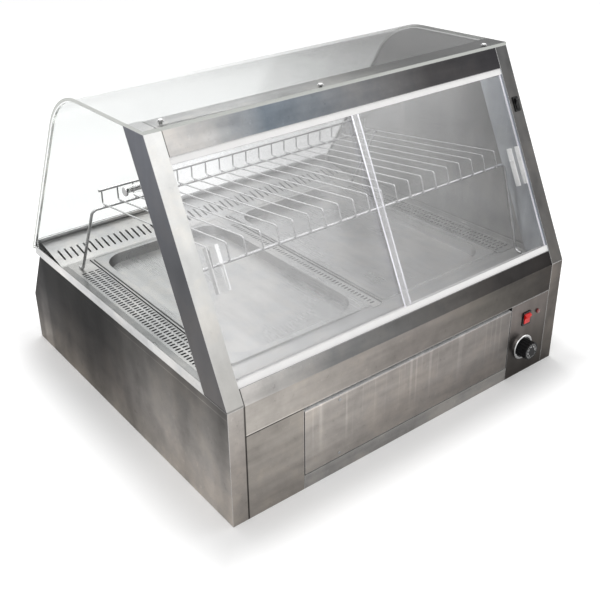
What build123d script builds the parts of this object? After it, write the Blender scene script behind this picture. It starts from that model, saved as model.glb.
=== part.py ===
from build123d import *
import os
from math import atan2, cos, radians, sin, tan

# Counter-top heated display case, in millimetres.
# +X runs from left to right as seen from the service side, +Y runs from the
# service side to the customer side, +Z is up. The origin is the centre of the
# base's footprint, on the surface that the case stands on. Names ending in
# NEAR and FAR are distances from the front of the base.

# Outer sizes
CASE_WIDTH = 850
BASE_DEPTH = 797
BASE_HEIGHT = 237
GLASS_SEAT = 652
GLASS_SETBACK = 196
SHEET = 1.2
SEAM = 0.6

# Base panels
COLUMN_RETURN = 14
FLANGE = 15
KNEE_HEIGHT = 116
KNEE_INSET = 67
FASCIA_SEAM_HEIGHT = 177.4
LEFT_PANEL_WIDTH = 124
CONTROL_PANEL_WIDTH = 117
PLINTH_HEIGHT = 30
PLINTH_SHELF = 30
FLOOR_LIP = 12
VENT_LENGTH = 60
VENT_WIDTH = 5
VENT_PITCH = 16
VENT_COUNT = 9

# Leaning service side: posts, sill, top rail and tracks
POST_WIDTH = 33
POST_DEPTH = 60
SILL_REACH = 30
SILL_SHELF = 20
TRACK_DEPTH = 17
TRACK_WALL = 1.5
TRACK_BASE = 2
TRACK_HEIGHT = 12
TRACK_SETBACK = 1.6
RAIL_REACH = 43
RAIL_SHELF = 22
RAIL_TOP_DEPTH = 62
RAIL_LIP = 12

# Sliding doors and their handles
DOOR_THICKNESS = 4
DOOR_CORNER = 2
DOOR_SIDE_GAP = 1
DOOR_FOOT_GAP = 0.4
DOOR_HEAD_GAP = 4.9
DOOR_SPLIT = 1
DOOR_OVERLAP = 21
HANDLE_WIDTH = 24
HANDLE_HEIGHT = 78
HANDLE_REACH = 11
HANDLE_WALL = 2
HANDLE_INSET = 15
LEFT_HANDLE_CENTRE = 224
RIGHT_HANDLE_CENTRE = 217

# Curved glass, its screws and the rest under its foot
GLASS = 6
GLASS_PITCH = radians(59.2)
GLASS_BEND = 160
GLASS_FOOT_FAR = 765
GLASS_FOOT_HEIGHT = 248
GLASS_SCREW_INSETS = (48, 55)
GLASS_SCREW_MIDDLE = -58
GLASS_SCREW_FARS = (223, 208, 207)
SCREW_HEAD = 9
SCREW_HEAD_HEIGHT = 3
SCREW_FLANGE = 12
SCREW_FLANGE_HEIGHT = 1
SCREW_SHANK = 4
SCREW_TAIL = 8
SCREW_GAP = 1
REST_END_GAP = 8
REST_NEAR = 715
REST_FAR = 749
REST_HEIGHT = 272
GASKET = 1.5

# Ends of the cabinet
END_GLASS = 5
END_GAP = 2
END_FAR = 747
END_RIM = 6
STUD_FAR = 276
STUD_HEIGHT = 534
STUD_CAP = 17
STUD_CAP_THICKNESS = 4
STUD_ROD = 8
SLEEVE_LENGTH = 24
SLEEVE_SMALL = 14
SLEEVE_LARGE = 20
RAIL_HEIGHT = 20
RAIL_FLANGE = 24.8
RAIL_FLANGE_NEAR = 80
RAIL_FLANGE_FAR = 640
RAIL_SLIT_NEAR = 241
RAIL_SLIT_LENGTH = 18
RAIL_SLIT_WIDTH = 3
RAIL_SLIT_INSET = 16

# Deck
DECK_NEAR = 4
DECK_SIDE_GAP = 0.2
DECK_SLOPE_NEAR = 648
DECK_SLOPE_FAR = 746
DECK_SLOPE_RISE = 20.8
DECK_SLOPE_INSET = 15
DECK_CORNER_FAR = 69
SLOT_LENGTH = 39
SLOT_WIDTH = 4.5
SLOT_PITCH = 15.35
SLOT_END_MARGIN = 14
SLOT_FAR = 686
BEAD_WIDTH = 6
BEAD_HEIGHT = 3
DECK_GAP = 1.5
BEAD_TO_STRIP = 0.5
BEAD_NEAR = 104
BEAD_FAR = 636

# Lift-out pans
PAN_NEAR = 107
PAN_LENGTH = 530
PAN_CORNER = 8
PAN_RISE = 3.4
PAN_SHEET = 0.8
PAN_BEAD = 4
PAN_BEAD_RISE = 0.6
PAN_RIM = 14
WELL_DEPTH = 20
WELL_CORNER = 50
WELL_DRAFT = 14
WELL_GAP = 2

# Perforated strips between and beside the pans
STRIP_SHEET = 1
STRIP_NEAR = 100
STRIP_LENGTH = 524
STRIP_EDGE = 4
STRIP_PLAIN_END = 36
SIDE_STRIP_WIDTH = 48.5
SIDE_STRIP_INSET = 26.5
MIDDLE_STRIP_WIDTH = 23.5
PERF_LENGTH = 11.5
PERF_WIDTH = 4.5
PERF_COLUMN_PITCH = 15
PERF_ROW_PITCH = 9.35
PERF_COLUMNS = 3
PERF_EDGE = 1.25
PERF_NEAR = 116.5

# Rack
WIRE = 3
RACK_ROD = 6
WIRE_PITCH = 35.2
WIRE_END_MARGIN = 25
WIRE_BEND = 5
RACK_NEAR = 143.7
RACK_NEAR_HEIGHT = 454.7
WIRE_DROP = 33.2
WIRE_DROP_LEAN = 11.2
RACK_FAR = 528
RACK_FAR_HEIGHT = 408.7
RIM_ROD_HEIGHT = 438
RIM_OVERHANG = 6
REAR_ROD_FAR = 518
ROD_TO_WIRE_TIP = 2
FRONT_LEG_INSET = 45
REAR_LEG_INSET = 44
FRONT_FOOT_FAR = 84
REAR_FOOT_TO_STRIP_END = 22
FOOT_LENGTH = 14
LEG_BEND = 12

# Drawer and its runners
DRAWER_GAP = 1.4
DRAWER_TOP_GAP = 8.4
DRAWER_FLANGE = 13
DRAWER_LIP = 10
TRAY_GAP = 13
TRAY_LIFT = 36
TRAY_HEIGHT = 95
TRAY_LENGTH = 560
SLIDE_BAR_HEIGHT = 18
SLIDE_BAR_LIFT = 104
RUNNER_WALL = 1.5
RUNNER_DEPTH = 10
RUNNER_GAP = 0.5
RUNNER_NEAR = 40
RUNNER_LENGTH = 540
RUNNER_LEG = 30
RUNNER_FOOT = 12
RIVET_INSET = 81
RIVET_HEIGHTS = (41, 159)
RIVET_HEAD = 6
RIVET_HEAD_HEIGHT = 1
RIVET_SHANK = 3.2

# Heating
SHIELD_HEIGHT = 180
SHIELD_NEAR = 70
SHIELD_LENGTH = 570
SHIELD_LIP = 12
ELEMENT = 8
ELEMENT_HEIGHT = 199
ELEMENT_NEAR = 130
ELEMENT_FAR = 570
ELEMENT_RETURN = 200
ELEMENT_LEG_X = (-90, -30, 30, 90)
ELEMENT_BEND = 24
CLIP_FARS = (170, 500)
CLIP_WIDTH = 14
CLIP_LENGTH = 10
CLIP_CROWN = 6
TERMINAL_INSET = 85
TERMINAL_FAR = 200
TERMINAL_SIZE = (22, 60, 18)
TERMINAL_SCREW = 6
TERMINAL_PITCH = 18

# Thermostat, its knob and its feeler
KNOB_INSET = 104
KNOB_Z = 66.5
BEZEL = 56
BEZEL_THICKNESS = 5
BEZEL_BASE = 1.2
BEZEL_RIM = 4.9
BEZEL_EDGE = 2
KNOB = 40
KNOB_SKIRT = 45
KNOB_SKIRT_THICKNESS = 4
KNOB_LENGTH = 24
KNOB_GAP = 0.6
KNOB_FLUTES = 18
KNOB_FLUTE = 1.6
KNOB_BORE_DEPTH = 15
KNOB_TAB_WIDTH = 7
KNOB_TAB_HEIGHT = 2
KNOB_DISH = 34
KNOB_DISH_DEPTH = 0.4
SHAFT = 6
SHAFT_TAIL = 20
SHAFT_PLAY = 0.05
SHAFT_HOLE = 10
THERMOSTAT_WIDTH = 38
THERMOSTAT_HEIGHT = 46
THERMOSTAT_DEPTH = 32
CAPILLARY = 2
CAPILLARY_BEND = 9
FEELER = 6
FEELER_LENGTH = 90
FEELER_FAR = 150

# Rocker switches, named by the panel that each is in
SWITCH_INSET = 100
SWITCH_Z = 134
SWITCH_WIDTH = 25
SWITCH_HEIGHT = 31
LAMP_SWITCH_INSET = 16
LAMP_SWITCH_RISE = 338
LAMP_SWITCH_WIDTH = 15
SWITCH_BEZEL = 2
SWITCH_BORDER = 2
SWITCH_WALL = 1.6
SWITCH_DEPTH = 24
SWITCH_POCKET = 9.5
ROCKER_GAP = 0.35
ROCKER_PIVOT_DEPTH = 1
ROCKER_CROWN = 4.5
ROCKER_BACK = 5
ROCKER_TILT = 12
ROCKER_PIN = 3
ROCKER_PIN_LENGTH = 1
ROCKER_PIN_PLAY = 0.05

# Pilot lamp, cable gland and cabinet lamp
PILOT_INSET = 64
PILOT_Z = 138.5
PILOT_LENS = 10
PILOT_FLANGE = 1.5
PILOT_DOME = 2.5
PILOT_STEM = 7
PILOT_STEM_LENGTH = 20
PILOT_NUT = 12
PILOT_NUT_THICKNESS = 3
HOLE_GAP = 0.6
GLAND_FAR = 700
GLAND_HEIGHT = 60
GLAND_THREAD = 16
GLAND_TAIL = 10
GLAND_NUT = 22
GLAND_NUT_THICKNESS = 5
GLAND_CAP = 18
GLAND_CAP_LENGTH = 9
GLAND_BORE = 8
LAMP_TUBE = 16
LAMP_END_GAP = 150.5
LAMP_FAR = 228
LAMP_HEIGHT = 625
LAMP_SOCKET_SIZE = (18, 22, 38)
LAMP_SOCKET_DEPTH = 5

FRONT = -BASE_DEPTH / 2
HALF = CASE_WIDTH / 2
INNER = HALF - POST_WIDTH
DRAWER_LEFT = LEFT_PANEL_WIDTH - INNER
CONTROL_PANEL_LEFT = INNER - CONTROL_PANEL_WIDTH
DECK_TOP = BASE_HEIGHT + SHEET
RAIL_TOP = DECK_TOP + SHEET
LEAN = atan2(GLASS_SETBACK, GLASS_SEAT - BASE_HEIGHT)
LEAN_LENGTH = (GLASS_SEAT - BASE_HEIGHT) / cos(LEAN)
CASE_TOP = GLASS_SEAT + GLASS
GLASS_SCREW_XS = (GLASS_SCREW_INSETS[0] - HALF, GLASS_SCREW_MIDDLE, HALF - GLASS_SCREW_INSETS[1])
REST_WIDTH = CASE_WIDTH - 2 * REST_END_GAP
LAMP_LENGTH = CASE_WIDTH - 2 * LAMP_END_GAP

# Deck layout, from the sides inwards: strip, bead, pan; and between the pans a strip and a bead
SIDE_STRIP_CENTRE = HALF - SIDE_STRIP_INSET - SIDE_STRIP_WIDTH / 2
PAN_EDGE = SIDE_STRIP_CENTRE - SIDE_STRIP_WIDTH / 2 - BEAD_TO_STRIP - BEAD_WIDTH - DECK_GAP
PAN_SPACING = MIDDLE_STRIP_WIDTH + BEAD_WIDTH + 3 * DECK_GAP
PAN_WIDTH = PAN_EDGE - PAN_SPACING / 2
PAN_CENTRE = (PAN_EDGE + PAN_SPACING / 2) / 2
WELL_WIDTH = PAN_WIDTH - 2 * PAN_RIM
WELL_LENGTH = PAN_LENGTH - 2 * PAN_RIM
MIDDLE_STRIP_CENTRE = DECK_GAP + (MIDDLE_STRIP_WIDTH - PAN_SPACING) / 2
SIDE_BEAD_CENTRE = PAN_EDGE + DECK_GAP + BEAD_WIDTH / 2
BEAD_CENTRES = (-SIDE_BEAD_CENTRE, (PAN_SPACING - BEAD_WIDTH) / 2 - DECK_GAP, SIDE_BEAD_CENTRE)
PERF_OFFSET = (SIDE_STRIP_WIDTH - PERF_LENGTH - (PERF_COLUMNS - 1) * PERF_COLUMN_PITCH) / 2 - PERF_EDGE
PERF_ROWS = 1 + int((STRIP_NEAR + STRIP_LENGTH - PERF_NEAR - STRIP_PLAIN_END) / PERF_ROW_PITCH)
DECK_SLOPE_WIDTH = CASE_WIDTH - 2 * DECK_SLOPE_INSET
SLOT_COUNT = 1 + int((DECK_SLOPE_WIDTH - SLOT_WIDTH - 2 * SLOT_END_MARGIN) / SLOT_PITCH)

# Rack and controls, from the sides inwards
FRONT_LEG_SIDE = HALF - FRONT_LEG_INSET
REAR_LEG_SIDE = HALF - REAR_LEG_INSET
REAR_FOOT_FAR = STRIP_NEAR + STRIP_LENGTH - REAR_FOOT_TO_STRIP_END
WIRE_COUNT = 1 + 2 * int((FRONT_LEG_SIDE - WIRE_END_MARGIN) / WIRE_PITCH)
RIVET_X = DRAWER_LEFT + RIVET_INSET
TERMINAL_X = HALF - TERMINAL_INSET
KNOB_X = HALF - KNOB_INSET
SWITCH_X = HALF - SWITCH_INSET
PILOT_X = HALF - PILOT_INSET
LAMP_SWITCH_X = HALF - LAMP_SWITCH_INSET


def lean(rise, depth):
    """Y and Z of a point up the leaning service side and in from its face."""
    return (FRONT + rise * sin(LEAN) + depth * cos(LEAN),
            BASE_HEIGHT + rise * cos(LEAN) - depth * sin(LEAN))


def face_y(height):
    """Y of the leaning face at a height."""
    return FRONT + (height - BASE_HEIGHT) * tan(LEAN)


def side_section(x):
    """Plane across the case at x: local x is Y and local y is Z."""
    return Plane.YZ.offset(x)


def lean_section(x):
    """Plane across the case at x: local x goes in, local y up the leaning side."""
    return Plane(origin=(x, FRONT, BASE_HEIGHT), x_dir=(0, cos(LEAN), -sin(LEAN)), z_dir=(1, 0, 0))


def lean_face(depth):
    """Plane parallel to the leaning side, facing out, at a depth behind its face."""
    y, z = lean(0, depth)
    return Plane(origin=(0, y, z), x_dir=(1, 0, 0), z_dir=(0, -cos(LEAN), sin(LEAN)))


def fold(plane, points, length, side, mode=Mode.ADD):
    """Folded sheet: a line of folds, thickened by the sheet and drawn out."""
    with BuildSketch(plane) as section:
        with BuildLine():
            Polyline(*points)
            offset(amount=SHEET, side=side, kind=Kind.INTERSECTION)
        make_face()
    extrude(section.sketch, amount=length, mode=mode)


def plate(plane, points, thickness, mode=Mode.ADD):
    """Flat sheet of a straight-edged outline."""
    with BuildSketch(plane) as section:
        with BuildLine():
            Polyline(*points, close=True)
        make_face()
    extrude(section.sketch, amount=thickness, mode=mode)


def block(low, high, mode=Mode.ADD):
    """Box between two corners."""
    centre = [(a + b) / 2 for a, b in zip(low, high)]
    size = [b - a for a, b in zip(low, high)]
    with Locations(tuple(centre)):
        Box(*size, mode=mode)


def save(name, piece):
    piece.part.label = name
    export_step(piece.part, f"parts/{name}.step")


os.makedirs("parts", exist_ok=True)


def rod(points, radius, bend):
    """Round bar along a line of points, with its corners bent."""
    with BuildLine() as centre_line:
        FilletPolyline(*points, radius=bend)
    path = centre_line.line
    with BuildSketch(Plane(origin=path @ 0, z_dir=path % 0)) as section:
        Circle(radius)
    sweep(section.sketch, path=path)


def glass_line(inset):
    """Curved glass outline in a side section, at an inset from its outer face."""
    top = CASE_TOP - inset
    foot_y = FRONT + GLASS_FOOT_FAR - inset * sin(GLASS_PITCH)
    foot_z = GLASS_FOOT_HEIGHT - inset * cos(GLASS_PITCH)
    corner_y = foot_y - (top - foot_z) / tan(GLASS_PITCH)
    return (FRONT + GLASS_SETBACK, top), (corner_y, top), (foot_y, foot_z)


def glass_height(inset, y):
    """Z of the glass's straight lower run at a Y, at an inset from its outer face."""
    foot_y, foot_z = glass_line(inset)[2]
    return foot_z + (foot_y - y) * tan(GLASS_PITCH)


# Base floor: a shallow tray inside the walls, with vents under the elements
with BuildPart() as floor_pan:
    floor_x = HALF - SHEET
    floor_y = -FRONT - SHEET
    block((-floor_x, -floor_y, 0), (floor_x, floor_y, FLOOR_LIP))
    block((SHEET - floor_x, SHEET - floor_y, SHEET), (floor_x - SHEET, floor_y - SHEET, FLOOR_LIP),
          mode=Mode.SUBTRACT)
    with BuildSketch() as vents:
        for side in (-1, 1):
            with Locations((side * PAN_CENTRE, 0)):
                with GridLocations(VENT_PITCH, 1, VENT_COUNT, 1):
                    SlotOverall(VENT_LENGTH, VENT_WIDTH, rotation=90)
    extrude(amount=FLOOR_LIP, mode=Mode.SUBTRACT)
save("floor_pan", floor_pan)


def side_panel(side):
    """Base side with its front column, the column's return and a top flange."""
    edge = side * HALF
    inner = side * INNER
    knee_y = -FRONT - KNEE_INSET
    outline = ((FRONT, 0), (FRONT, BASE_HEIGHT), (knee_y, BASE_HEIGHT),
               (-FRONT, KNEE_HEIGHT), (-FRONT, 0))
    with BuildPart() as panel:
        plate(side_section(edge), outline, -side * SHEET)
        low_x, high_x = sorted((edge, inner))
        block((low_x, FRONT, 0), (high_x, FRONT + SHEET, BASE_HEIGHT))
        low_x, high_x = sorted((inner, inner + side * SHEET))
        block((low_x, FRONT, FLOOR_LIP + SEAM), (high_x, FRONT + COLUMN_RETURN, BASE_HEIGHT))
        low_x, high_x = sorted((edge, edge - side * FLANGE))
        block((low_x, FRONT, BASE_HEIGHT - SHEET), (high_x, knee_y - SHEET, BASE_HEIGHT))
    return panel


save("left_side_panel", side_panel(-1))
with BuildPart() as right_side_panel:
    add(side_panel(1).part)
    with BuildSketch(side_section(HALF)):
        with Locations((FRONT + GLAND_FAR, GLAND_HEIGHT)):
            Circle(GLAND_THREAD / 2)
    extrude(amount=-SHEET, mode=Mode.SUBTRACT)
save("right_side_panel", right_side_panel)

# Customer-side base panel, folded at the knee and at its top
with BuildPart() as customer_panel:
    knee_y = -FRONT - KNEE_INSET
    fold(side_section(SHEET - HALF),
         ((-FRONT, 0), (-FRONT, KNEE_HEIGHT), (knee_y, BASE_HEIGHT), (knee_y - FLANGE, BASE_HEIGHT)),
         CASE_WIDTH - 2 * SHEET, Side.LEFT)
    for side in (-1, 1):
        low_x, high_x = sorted((side * HALF, side * (HALF - FLANGE)))
        block((low_x, knee_y - FLANGE, BASE_HEIGHT - SHEET), (high_x, knee_y - SHEET, BASE_HEIGHT),
              mode=Mode.SUBTRACT)
save("customer_panel", customer_panel)

# Service-side fascia: vertical band, leaning sill, track shelf and its drop to the deck
with BuildPart() as front_fascia:
    shelf = lean(SILL_REACH, SILL_SHELF)
    fold(side_section(-INNER),
         ((FRONT + FLANGE, FASCIA_SEAM_HEIGHT), (FRONT, FASCIA_SEAM_HEIGHT), (FRONT, BASE_HEIGHT),
          lean(SILL_REACH, 0), shelf, (shelf[0], DECK_TOP)),
         2 * INNER, Side.RIGHT)
save("front_fascia", front_fascia)


def front_panel(low_x, high_x):
    """Flat front panel with upright returns, between two seams."""
    low_x += SEAM
    high_x -= SEAM
    top = FASCIA_SEAM_HEIGHT - SEAM
    block((low_x, FRONT, 0), (high_x, FRONT + SHEET, top))
    for return_x in (low_x, high_x - SHEET):
        block((return_x, FRONT, FLOOR_LIP + SEAM), (return_x + SHEET, FRONT + FLANGE, top))


with BuildPart() as left_front_panel:
    front_panel(-INNER, DRAWER_LEFT)
save("left_front_panel", left_front_panel)

front_face = Plane(origin=(0, FRONT, 0), x_dir=(1, 0, 0), z_dir=(0, -1, 0))
with BuildPart() as control_panel:
    front_panel(CONTROL_PANEL_LEFT, INNER)
    with BuildSketch(front_face):
        with Locations((SWITCH_X, SWITCH_Z)):
            Rectangle(SWITCH_WIDTH - 2 * SWITCH_BORDER, SWITCH_HEIGHT - 2 * SWITCH_BORDER)
        with Locations((KNOB_X, KNOB_Z)):
            Circle(SHAFT_HOLE / 2)
        with Locations((PILOT_X, PILOT_Z)):
            Circle(PILOT_STEM / 2 + HOLE_GAP)
    extrude(amount=-SHEET, mode=Mode.SUBTRACT)
save("control_panel", control_panel)

# Plinth rail under the drawer
with BuildPart() as plinth_rail:
    fold(side_section(DRAWER_LEFT),
         ((FRONT, 0), (FRONT, PLINTH_HEIGHT), (FRONT + PLINTH_SHELF, PLINTH_HEIGHT)),
         CONTROL_PANEL_LEFT - DRAWER_LEFT, Side.RIGHT)
save("plinth_rail", plinth_rail)

# Deck: one sheet with a slotted slope, pan openings, strip openings and pressed beads
with BuildPart() as deck_plate:
    deck_x = HALF - SHEET - DECK_SIDE_GAP
    slope_y = FRONT + DECK_SLOPE_NEAR
    slope_end = (FRONT + DECK_SLOPE_FAR, BASE_HEIGHT + DECK_SLOPE_RISE)
    fold(side_section(-deck_x), ((FRONT + DECK_NEAR, BASE_HEIGHT), (slope_y, BASE_HEIGHT), slope_end),
         2 * deck_x, Side.LEFT)
    for side in (-1, 1):
        low_x, high_x = sorted((side * HALF, side * (INNER - SEAM)))
        block((low_x, FRONT, BASE_HEIGHT), (high_x, FRONT + DECK_CORNER_FAR, DECK_TOP),
              mode=Mode.SUBTRACT)
        low_x, high_x = sorted((side * HALF, side * DECK_SLOPE_WIDTH / 2))
        block((low_x, slope_y, BASE_HEIGHT), (high_x, -FRONT, GLASS_FOOT_HEIGHT + FLANGE),
              mode=Mode.SUBTRACT)
    with BuildSketch(Plane.XY.offset(BASE_HEIGHT)):
        for side in (-1, 1):
            with Locations((side * PAN_CENTRE, FRONT + PAN_NEAR + PAN_LENGTH / 2)):
                RectangleRounded(WELL_WIDTH + 2 * (PAN_SHEET + WELL_GAP),
                                 WELL_LENGTH + 2 * (PAN_SHEET + WELL_GAP),
                                 WELL_CORNER + PAN_SHEET + WELL_GAP)
        strip_y = FRONT + STRIP_NEAR + STRIP_EDGE
        perforated = PERF_NEAR + (PERF_ROWS - 1) * PERF_ROW_PITCH - STRIP_NEAR + STRIP_EDGE
        for centre, width in ((-SIDE_STRIP_CENTRE, SIDE_STRIP_WIDTH),
                              (SIDE_STRIP_CENTRE, SIDE_STRIP_WIDTH),
                              (MIDDLE_STRIP_CENTRE, MIDDLE_STRIP_WIDTH)):
            with Locations((centre, strip_y + perforated / 2)):
                Rectangle(width - 2 * STRIP_EDGE, perforated)
    extrude(amount=SHEET, mode=Mode.SUBTRACT)
    slope = Plane(origin=(0, slope_y, DECK_TOP), x_dir=(1, 0, 0),
                  z_dir=(0, -DECK_SLOPE_RISE, DECK_SLOPE_FAR - DECK_SLOPE_NEAR))
    with BuildSketch(slope):
        with Locations((0, SLOT_FAR - DECK_SLOPE_NEAR)):
            with GridLocations(SLOT_PITCH, 1, SLOT_COUNT, 1):
                SlotOverall(SLOT_LENGTH, SLOT_WIDTH, rotation=90)
    extrude(amount=2 * SHEET, both=True, mode=Mode.SUBTRACT)
    with BuildSketch(Plane.XZ.offset(-FRONT - BEAD_NEAR)):
        for centre in BEAD_CENTRES:
            with BuildLine():
                Polyline((centre - BEAD_WIDTH / 2, BASE_HEIGHT), (centre - BEAD_WIDTH / 4, DECK_TOP + BEAD_HEIGHT),
                         (centre + BEAD_WIDTH / 4, DECK_TOP + BEAD_HEIGHT),
                         (centre + BEAD_WIDTH / 2, BASE_HEIGHT), close=True)
            make_face()
    extrude(amount=BEAD_NEAR - BEAD_FAR)
    with BuildSketch(Plane.XZ.offset(-FRONT - BEAD_NEAR - SHEET)):
        for centre in BEAD_CENTRES:
            with BuildLine():
                Polyline((centre - BEAD_WIDTH / 4, BASE_HEIGHT),
                         (centre, BASE_HEIGHT + BEAD_HEIGHT),
                         (centre + BEAD_WIDTH / 4, BASE_HEIGHT), close=True)
            make_face()
    extrude(amount=BEAD_NEAR - BEAD_FAR + 2 * SHEET, mode=Mode.SUBTRACT)
save("deck_plate", deck_plate)


def pan(side):
    """Lift-out pan: drafted well, flat rim with a bead, and a turned-down edge."""
    centre = (side * PAN_CENTRE, FRONT + PAN_NEAR + PAN_LENGTH / 2)
    rim_top = DECK_TOP + PAN_RISE
    with BuildPart() as piece:
        with BuildSketch(Plane.XY.offset(DECK_TOP)):
            with Locations(centre):
                RectangleRounded(PAN_WIDTH, PAN_LENGTH, PAN_CORNER)
        extrude(amount=PAN_RISE)
        with BuildSketch(Plane.XY.offset(rim_top)):
            with Locations(centre):
                RectangleRounded(PAN_WIDTH - 2 * PAN_SHEET, PAN_LENGTH - 2 * PAN_SHEET,
                                 PAN_CORNER - PAN_SHEET)
                RectangleRounded(PAN_WIDTH - 2 * PAN_BEAD, PAN_LENGTH - 2 * PAN_BEAD,
                                 PAN_CORNER - PAN_BEAD, mode=Mode.SUBTRACT)
        extrude(amount=PAN_BEAD_RISE)
        with BuildSketch(Plane.XY.offset(DECK_TOP)):
            with Locations(centre):
                RectangleRounded(PAN_WIDTH - 2 * PAN_SHEET, PAN_LENGTH - 2 * PAN_SHEET,
                                 PAN_CORNER - PAN_SHEET)
        extrude(amount=PAN_RISE - PAN_SHEET, mode=Mode.SUBTRACT)
        with BuildSketch(Plane.XY.offset(rim_top)):
            with Locations(centre):
                RectangleRounded(WELL_WIDTH + 2 * PAN_SHEET, WELL_LENGTH + 2 * PAN_SHEET,
                                 WELL_CORNER + PAN_SHEET)
        extrude(amount=-WELL_DEPTH - PAN_SHEET, taper=WELL_DRAFT)
        with BuildSketch(Plane.XY.offset(rim_top)):
            with Locations(centre):
                RectangleRounded(WELL_WIDTH, WELL_LENGTH, WELL_CORNER)
        extrude(amount=-WELL_DEPTH, taper=WELL_DRAFT, mode=Mode.SUBTRACT)
    return piece


save("left_pan", pan(-1))
save("right_pan", pan(1))


def strip(centre, width, columns, offset_x):
    """Perforated strip with a plain far end that the rack stands on."""
    with BuildPart() as piece:
        with BuildSketch(Plane.XY.offset(DECK_TOP)):
            with Locations((centre, FRONT + STRIP_NEAR + STRIP_LENGTH / 2)):
                Rectangle(width, STRIP_LENGTH)
            rows_y = FRONT + PERF_NEAR + (PERF_ROWS - 1) * PERF_ROW_PITCH / 2
            with Locations((centre + offset_x, rows_y)):
                with GridLocations(PERF_COLUMN_PITCH, PERF_ROW_PITCH, columns, PERF_ROWS):
                    SlotOverall(PERF_LENGTH, PERF_WIDTH, mode=Mode.SUBTRACT)
        extrude(amount=STRIP_SHEET)
    return piece


save("left_strip", strip(-SIDE_STRIP_CENTRE, SIDE_STRIP_WIDTH, PERF_COLUMNS, PERF_OFFSET))
save("right_strip", strip(SIDE_STRIP_CENTRE, SIDE_STRIP_WIDTH, PERF_COLUMNS, -PERF_OFFSET))
save("middle_strip", strip(MIDDLE_STRIP_CENTRE, MIDDLE_STRIP_WIDTH, 1, 0))


def post(side):
    """Leaning channel post, open towards the cabinet, with a cap under the glass."""
    wall_x, inner_x = side * HALF, side * INNER
    foot_y, top_y = face_y(BASE_HEIGHT), face_y(GLASS_SEAT)
    depth = POST_DEPTH / cos(LEAN)
    outline = ((foot_y, BASE_HEIGHT), (top_y, GLASS_SEAT), (top_y + depth, GLASS_SEAT),
               (foot_y + depth, BASE_HEIGHT))
    hollow = SHEET / cos(LEAN)
    inside = ((foot_y + hollow, BASE_HEIGHT), (top_y + hollow, GLASS_SEAT),
              (top_y + 2 * depth, GLASS_SEAT), (foot_y + 2 * depth, BASE_HEIGHT))
    low_x, high_x = sorted((wall_x, inner_x))
    with BuildPart() as piece:
        plate(side_section(low_x), outline, POST_WIDTH)
        plate(side_section(low_x + SHEET), inside, POST_WIDTH - 2 * SHEET, mode=Mode.SUBTRACT)
        block((low_x, top_y, GLASS_SEAT - SHEET), (high_x, top_y + depth, GLASS_SEAT))
    return piece


save("left_post", post(-1))
lamp_switch_face = Plane(origin=(LAMP_SWITCH_X, *lean(LAMP_SWITCH_RISE, 0)), x_dir=(1, 0, 0),
                         z_dir=(0, -cos(LEAN), sin(LEAN)))
with BuildPart() as right_post:
    add(post(1).part)
    with BuildSketch(lamp_switch_face):
        Rectangle(LAMP_SWITCH_WIDTH - 2 * SWITCH_BORDER, SWITCH_HEIGHT - 2 * SWITCH_BORDER)
    extrude(amount=-SHEET, mode=Mode.SUBTRACT)
save("right_post", right_post)

# Top rail: track shelf, leaning face, flange under the glass and a lip in front of the lamp
glass_holes = [(x, FRONT + far) for x, far in zip(GLASS_SCREW_XS, GLASS_SCREW_FARS)]
with BuildPart() as top_rail:
    reach = LEAN_LENGTH - RAIL_REACH
    flange_y = FRONT + GLASS_SETBACK + RAIL_TOP_DEPTH
    fold(side_section(-INNER),
         (lean(reach, RAIL_SHELF), lean(reach, 0), (FRONT + GLASS_SETBACK, GLASS_SEAT), (flange_y, GLASS_SEAT),
          (flange_y, GLASS_SEAT - RAIL_LIP)),
         2 * INNER, Side.RIGHT)
    with BuildSketch(Plane.XY.offset(GLASS_SEAT)):
        with Locations(*glass_holes):
            Circle(SCREW_SHANK / 2)
    extrude(amount=-SHEET, mode=Mode.SUBTRACT)
save("top_rail", top_rail)

GROOVE = (TRACK_DEPTH - 3 * TRACK_WALL) / 2
GROOVE_CENTRES = [TRACK_SETBACK + TRACK_WALL + GROOVE / 2 + step * (GROOVE + TRACK_WALL) for step in (0, 1)]


def track(base_rise, direction):
    """Double-groove door track on a shelf; direction is up the lean for the lower one."""
    with BuildPart() as piece:
        with BuildSketch(lean_section(-INNER)):
            with Locations((TRACK_SETBACK + TRACK_DEPTH / 2, base_rise + direction * TRACK_HEIGHT / 2)):
                Rectangle(TRACK_DEPTH, TRACK_HEIGHT)
            for centre in GROOVE_CENTRES:
                with Locations((centre, base_rise + direction * (TRACK_BASE + TRACK_HEIGHT) / 2)):
                    Rectangle(GROOVE, TRACK_HEIGHT - TRACK_BASE, mode=Mode.SUBTRACT)
        extrude(amount=2 * INNER)
    return piece


save("lower_track", track(SILL_REACH, 1))
save("upper_track", track(LEAN_LENGTH - RAIL_REACH, -1))

DOOR_FOOT = SILL_REACH + TRACK_BASE + DOOR_FOOT_GAP
DOOR_HEAD = LEAN_LENGTH - RAIL_REACH - TRACK_BASE - DOOR_HEAD_GAP


def door(low_x, high_x, groove):
    """Clear sliding door standing in one groove of the tracks."""
    with BuildPart() as piece:
        with BuildSketch(lean_face(groove - DOOR_THICKNESS / 2)):
            with Locations(((low_x + high_x) / 2, (DOOR_FOOT + DOOR_HEAD) / 2)):
                RectangleRounded(high_x - low_x, DOOR_HEAD - DOOR_FOOT, DOOR_CORNER)
        extrude(amount=-DOOR_THICKNESS)
    return piece


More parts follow.
